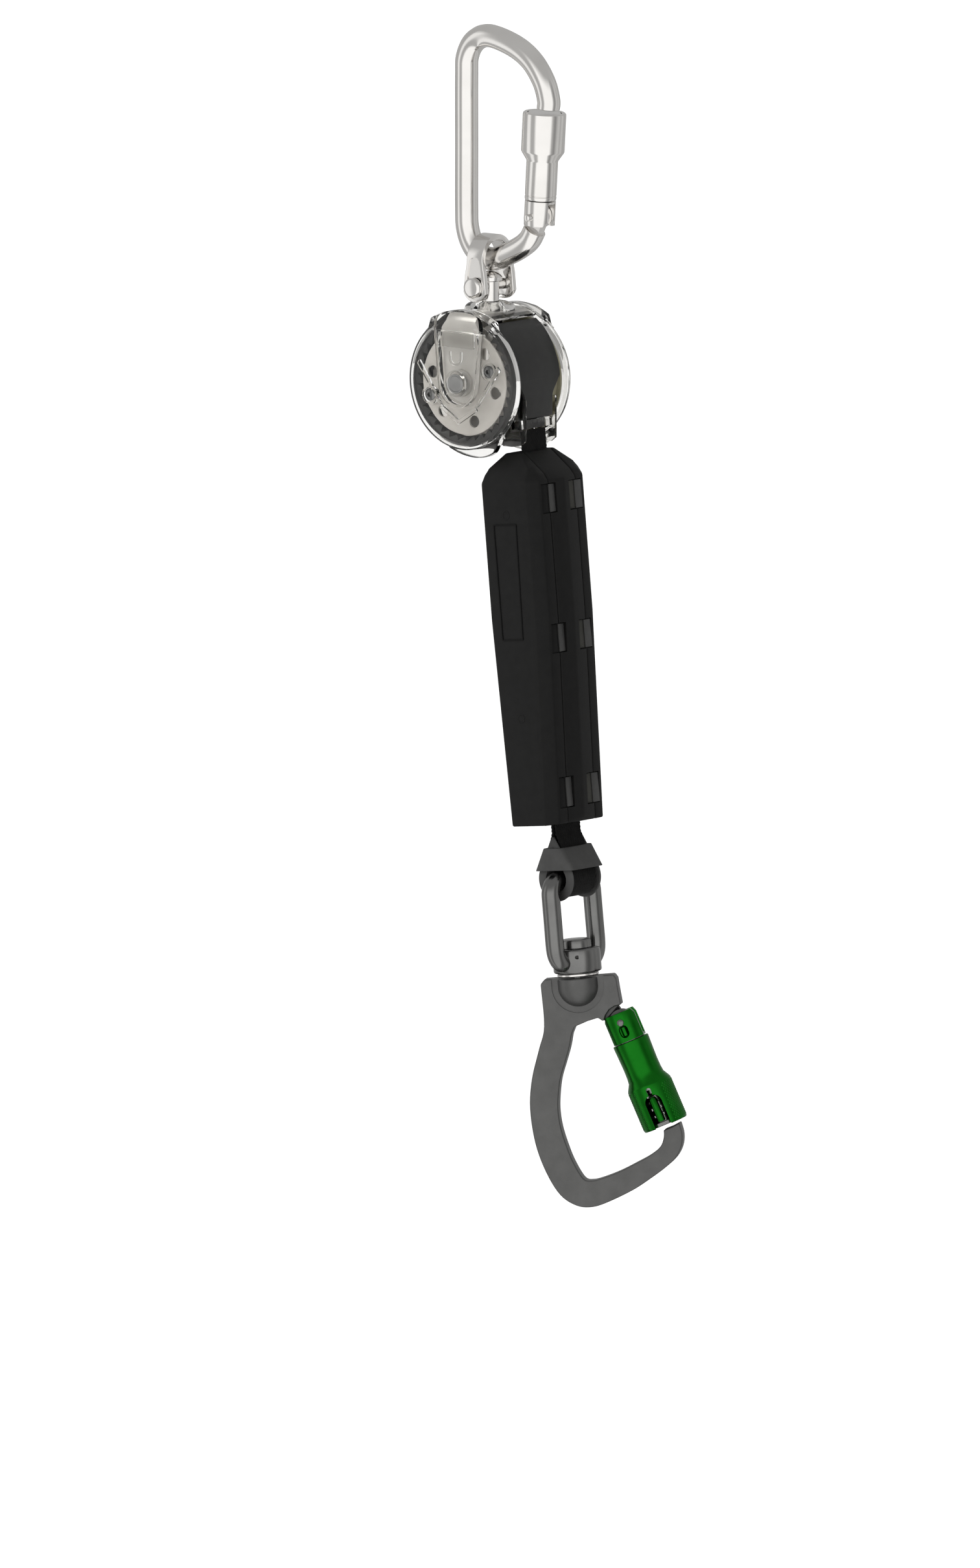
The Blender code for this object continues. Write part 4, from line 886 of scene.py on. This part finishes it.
def link():
    """The oblong link with its barrel, the stem in it and the washer under it."""
    bend_r = 8.0
    leg = smooth([(-10.5, -269.5), (-13.5, -268.6), (-16.0, -265.6), (-17.0, -260.5), (-17.0, -248)], 6)
    half = leg + arc(-17.0 + bend_r, -EYE_S - bend_r, bend_r, 180, 90, 16)
    path = [(0, y, z) for y, z in half + [(-y, z) for y, z in reversed(half)]]
    body = draft(wire(path, 4.75, 8), STRAP)
    barrel = [(0, -275.0), (11.2, -275.0), (12.0, -274.7), (12.4, -274.0), (12.4, -263.6), (12.0, -262.8),
              (11.4, -262.5), (0, -262.5)]
    add(body, STRAP, lathe(barrel, 72))
    cut(body, STRAP, rod(STEM_HOLE_R, -280, -255), rod(1.0, -14, -9, 'Y', 24, (8.0, 0, -266.5)))
    soften(body, 0.3, 2, 45)
    finish(body, "swivel_link", "link", "grey_steel", LINK_STEEL, "eye_link", angle=40)
    stem = [(0, 19.4), (6.4, 19.4), (7.6, 18.9), (8.0, 18.2), (8.0, 14.8), (5.1, 14.8), (5.1, -11.0),
            (0, -11.2)]
    simple(lathe(stem), HOOK, "swivel_bolt", "hook", "grey_steel", LINK_STEEL, "swivel_stem")
    washer = lathe([(5.3, 0.3), (10.4, 0.3), (10.7, 0.6), (10.7, 1.4), (10.4, 1.7), (5.3, 1.7)])
    simple(washer, HOOK, "swivel_spacer", "hook", "bright_steel", BRIGHT, "swivel_washer")


# ---- hook ----
# outlines of the hook's plate: across, and down from its top
OUTER = [(-19.2, 2.5), (-19.2, 24.2), (-22.9, 36), (-27.8, 51), (-30, 66.2), (-28.7, 84.3), (-24.4, 99.5),
         (-18.1, 111.6), (-10.1, 117.7), (-2.0, 119.0), (7.0, 116.8), (19.6, 111.8), (28.6, 106.9),
         (37.7, 101.2), (43.4, 96.4), (46.6, 91.0), (47.5, 85.0), (46.4, 78.8)]
INNER = [(38.0, 82.0), (37.7, 85.8), (35.6, 90.4), (29.7, 94.6), (22.5, 97.9), (13.6, 101.6), (4.8, 104.3),
         (-1.0, 105.3), (-5.4, 103.9), (-9.9, 95.1), (-12.9, 85.5), (-14.8, 76.8), (-15.4, 69), (-14.8, 61.4),
         (-13, 52.1), (-9.9, 43.8), (-7.1, 36.3), (-5.3, 29.5)]
SHOULDER = [(-3.4, 25.6), (3.5, 23.2), (9.0, 21.9), (11.3, 23.8), (12.0, 23.4), (13.0, 20.9), (15.2, 18.1),
            (18.0, 16.6), (21.4, 16.0), (20.6, 8.3), (20.1, 2.3), (18.7, 0.1)]


def hook():
    """The hook's plate with its boss and hinge neck, the gate, the gate's pin and the sleeve."""
    outline = smooth(OUTER, 5) + [(42.5, 80.6)] + smooth(INNER, 5) + SHOULDER + [(-17.0, 0.1)]
    body = draft(prism([(u, -v) for u, v in outline], -5.75, 5.75), HOOK)
    soften(body, 1.9, 5, 40)
    for way in (-1, 1):
        seat = arc(0, -5, 13.6, 180, 360, 32) + [(13.6, 1), (-13.6, 1)]
        cut(body, HOOK, prism(seat, *sorted((way * 5.0, way * 7))))
    boss = [(11.5 * cos(radians(a)), -5 + 11.5 * sin(radians(a))) for a in range(-87, 1, 3)]
    add(body, HOOK, lathe([(0, -16.5)] + boss + [(11.5, -1.2), (11.1, -0.7), (0, -0.6)], 72))
    neck = [(20.8, -19), (20.8, -31), (14.5, -27), (9.0, -20), (9.0, -12), (17, -12)]
    add(body, HOOK, prism(neck, -2.69, 2.69), rod(6.5, -2.7, 2.7, 'Y', at=HOOK_HINGE))
    cut(body, HOOK, rod(1.95, -12, 12, 'Y', 24, HOOK_HINGE), rod(STEM_HOLE_R, -11.6, 2))
    finish(body, "hook_plate", "hook", "grey_steel", GREY_STEEL, "hook_body", angle=24)

    side = [(-HOOK_EAR, -10.2), (-HOOK_EAR, 2.4), (-7.0, 4.9), (7.0, 4.9), (HOOK_EAR, 2.4), (HOOK_EAR, -10.2)]
    ears = draft(prism(side, -9.6, 9.6), H_GATE)
    change(ears, 'INTERSECT', H_GATE, rod(9.5, -11, 11, steps=96))
    cut(ears, H_GATE, box(-12, 12, -3.0, 3.0, -8.9, 12))
    notch = arc(0, -5.9, 2.4, 180, 360, 12) + arc(0, -3.9, 2.4, 0, 180, 12)
    cut(ears, H_GATE, prism(notch, -12, -5.4), prism(notch, 5.4, 12))
    soften(ears, 0.35, 2, 40)
    finish(ears, "hook_gate_ears", "hook_gate", "green_anodised", GREEN, angle=28)
    bar = lathe([(0, -7.6), (1.2, -7.6), (1.5, -7.2), (1.5, -2.8), (1.2, -2.4), (0, -2.4)], 32)
    bar.transform(Matrix.Translation((0, -6.9, 0)))
    simple(bar, H_GATE, "hook_gate_key", "hook_gate", "green_anodised", GREEN)
    tongue = [(0, -9.1), (6.5, -9.1), (6.5, -55.2), (9.3, -55.2), (9.6, -55.5), (9.6, -57.0), (9.3, -57.3),
              (0, -57.3)]
    simple(lathe(tongue), H_GATE, "hook_gate_tongue", "hook_gate", "green_anodised", LINK_STEEL, "hook_gate")
    pin = lathe([(0, -10.25), (1.1, -10.1), (1.7, -9.7), (1.85, -9.1), (1.85, 9.1), (1.7, 9.7), (1.1, 10.1),
                 (0, 10.25)], 40, 'Y')
    simple(pin, H_GATE, "hook_gate_ball_pin", "hook_gate", "bright_steel", LINK_STEEL, "hook_gate_pin")
    sleeve_shape()


def sleeve_shape():
    """Twist sleeve: waisted barrel, knurled collar, and a slot with a key at its lower front."""
    outer = [(6.9, -10.6), (9.2, -10.6), (9.55, -10.8), (9.65, -11.3), (9.45, -17), (9.25, -24.0),
             (9.35, -28.5), (9.65, -31.2), (11.5, -34.6), (11.8, -35.4), (11.8, -56.6), (11.6, -57.3),
             (11.2, -57.6), (9.95, -57.6), (9.95, -34.9), (6.9, -34.9)]
    sleeve = draft(lathe(outer, 128), H_GATE)
    slot = arc(0, -44.5, 4.4, 0, 180, 20) + [(-4.4, -60), (4.4, -60)]
    keyhole = arc(0, -37.6, 1.3, 0, 180, 12) + [(-0.9, -42), (0.9, -42)]
    cut(sleeve, H_GATE, prism(slot, -13, -8.5), prism(keyhole, -13, -8.5))
    key = lathe([(0, -54.9), (1.7, -54.9), (2.1, -54.5), (2.1, -42.6), (1.5, -41.6), (0, -41.2)], 40)
    key.transform(Matrix.Translation((0, -9.2, 0)))
    simple(key, H_GATE, "hook_sleeve_key", "hook_sleeve", "green_anodised", GREEN)
    finish(sleeve, "hook_lock_sleeve", "hook_sleeve", "green_anodised", GREEN, "hook_sleeve", angle=24)
    knurl()


def knurl():
    """Fine knurling on the collar, as small raised points left clear of the slot."""
    height = KNURL_LENGTH / KNURL_ROWS
    turn = tau / KNURL_COLUMNS
    bm = bmesh.new()
    for r in range(KNURL_ROWS):
        for c in range(KNURL_COLUMNS):
            angle = turn * c + (0.5 if r % 2 else 0.0) * turn
            front = abs((angle + pi / 2 + pi) % tau - pi)
            if front < KNURL_CLEAR:
                continue
            z = -36.2 - height * (r + 0.5)
            tip = Vector((12.0 * cos(angle), 12.0 * sin(angle), z))
            side = Vector((-sin(angle), cos(angle), 0)) * (11.8 * turn / 2) * 0.9
            up = Vector((0, 0, height * 0.9))
            base = Vector((11.74 * cos(angle), 11.74 * sin(angle), z))
            corners = [bm.verts.new(base + d) for d in (side, up, -side, -up)]
            top = bm.verts.new(tip)
            for k in range(4):
                bm.faces.new((corners[k], corners[(k + 1) % 4], top))
            bm.faces.new(corners[::-1])
    bmesh.ops.recalc_face_normals(bm, faces=bm.faces)
    simple(bm, H_GATE, "hook_sleeve_knurling", "hook_sleeve", "green_anodised", GREEN, angle=10)


# ---- carried-over inner nodes, stage and camera ----
def inner_nodes():
    """Give each hidden CAD node that is carried over its own material."""
    finishes = ((SPRING_STEEL, ("carabiner_sleeve_spring", "hook_sleeve_spring", "power_spring")),
                (LINK_STEEL, ("drum_hub", "pawl_pin_1", "pawl_pin_2")),
                (DISC_METAL, ("drum_flange_front", "drum_flange_rear")),
                (BRIGHT, ("brake_pawl_1", "brake_pawl_2", "drum_axle", "swivel_nut")),
                (FRAME_METAL, ("axle_nut_front", "axle_nut_rear")),
                (TEAR_WEB, ("energy_absorber",)))
    for mat, names in finishes:
        for name in names:
            frame["nodes"][name].material_slots[0].material = mat


def camera():
    """A long lens, well back, that looks a little down at the object."""
    data = bpy.data.cameras.new("camera")
    data.lens = SENSOR * DISTANCE / VIEW_HEIGHT
    obj = bpy.data.objects.new("camera", data)
    back = Vector((sin(AZIMUTH) * cos(ELEVATION), -cos(AZIMUTH) * cos(ELEVATION), sin(ELEVATION)))
    obj.location = place("drum_spin") + Vector((0, 0, -VIEW_DROP)) + back * DISTANCE
    obj.rotation_euler = (-back).to_track_quat('-Z', 'Y').to_euler()
    bpy.context.scene.collection.objects.link(obj)
    bpy.context.scene.camera = obj


def studio():
    """A pale floor, a soft sun that mirrors don't show, and the sky."""
    floor_mesh = bpy.data.meshes.new("floor")
    bm = bmesh.new()
    bmesh.ops.create_grid(bm, x_segments=8, y_segments=8, size=FLOOR_SIZE)
    bm.to_mesh(floor_mesh)
    bm.free()
    floor = bpy.data.objects.new("floor", floor_mesh)
    floor.location = (0, 0, CAD_BOX[0][2] - FLOOR_DROP)
    bpy.context.scene.collection.objects.link(floor)
    white = material("floor_white", (0.955, 0.955, 0.955), (0.965, 0.965, 0.965), 0.9, 0.0, 3.0, 0.0)
    floor_mesh.materials.append(white)
    floor.visible_glossy = False
    sky()
    sun = bpy.data.lights.new("key", 'SUN')
    sun.energy = SUN_POWER
    sun.angle = SUN_ANGLE
    obj = bpy.data.objects.new("key", sun)
    obj.visible_glossy = False
    obj.rotation_euler = Vector(SUN_FROM).to_track_quat('Z', 'Y').to_euler()
    bpy.context.scene.collection.objects.link(obj)
    bpy.context.scene.view_settings.view_transform = 'Standard'


def sky():
    """A white panel in front, a white strip at the left and grey elsewhere. The camera sees white."""
    world = bpy.data.worlds.new("studio")
    bpy.context.scene.world = world
    world.use_nodes = True
    tree = world.node_tree
    coords = node(tree, "ShaderNodeTexCoord")
    turn = node(tree, "ShaderNodeMath")
    turn.operation = 'ARCTAN2'
    right = Vector((cos(AZIMUTH), sin(AZIMUTH), 0))
    front = Vector((sin(AZIMUTH), -cos(AZIMUTH), 0))
    for i, way in enumerate((right, front)):
        dot = node(tree, "ShaderNodeVectorMath")
        dot.operation = 'DOT_PRODUCT'
        dot.inputs[1].default_value = way
        tree.links.new(coords.outputs["Generated"], dot.inputs[0])
        tree.links.new(dot.outputs["Value"], turn.inputs[i])
    split = node(tree, "ShaderNodeSeparateXYZ")
    tree.links.new(coords.outputs["Generated"], split.inputs["Vector"])
    level = curve(tree, turn.outputs["Value"], -pi, pi, [((a + 180) / 360, v) for a, v in PANELS])
    above = curve(tree, split.outputs["Z"], -1.0, 1.0, [((z + 1) / 2, v) for z, v in OVERHEAD])
    seen = node(tree, "ShaderNodeLightPath").outputs["Is Camera Ray"]
    light = towards(tree, seen, towards(tree, above, level, OVERHEAD_GREY), 1.0)
    tree.links.new(light, tree.nodes["Background"].inputs["Strength"])
    tree.nodes["Background"].inputs["Color"].default_value = (1, 0.995, 0.985, 1)


def towards(tree, factor, value, target):
    """Mix a value towards a fixed one."""
    mix = node(tree, "ShaderNodeMix", B=target)
    mix.data_type = 'FLOAT'
    tree.links.new(factor, mix.inputs["Factor"])
    tree.links.new(value, mix.inputs["A"])
    return mix.outputs["Result"]


def curve(tree, value, low, high, stops):
    """Map value from low..high through (position, brightness) stops."""
    spread = node(tree, "ShaderNodeMapRange", From_Min=low, From_Max=high)
    tree.links.new(value, spread.inputs["Value"])
    ramp = node(tree, "ShaderNodeFloatCurve")
    line_2d = ramp.mapping.curves[0]
    ramp.mapping.use_clip = False
    while len(line_2d.points) > 2:
        line_2d.points.remove(line_2d.points[1])
    line_2d.points[0].location = stops[0]
    line_2d.points[1].location = stops[-1]
    for stop in stops[1:-1]:
        line_2d.points.new(*stop)
    for point in line_2d.points:
        point.handle_type = 'VECTOR'
    ramp.mapping.update()
    tree.links.new(spread.outputs["Result"], ramp.inputs["Value"])
    return ramp.outputs["Value"]


carabiner()
clevis()
housing()
ratchet()
drum()
webbing()
pack()
thimble()
clasp()
link()
hook()
inner_nodes()
camera()
studio()
bpy.data.collections.remove(HELPERS)
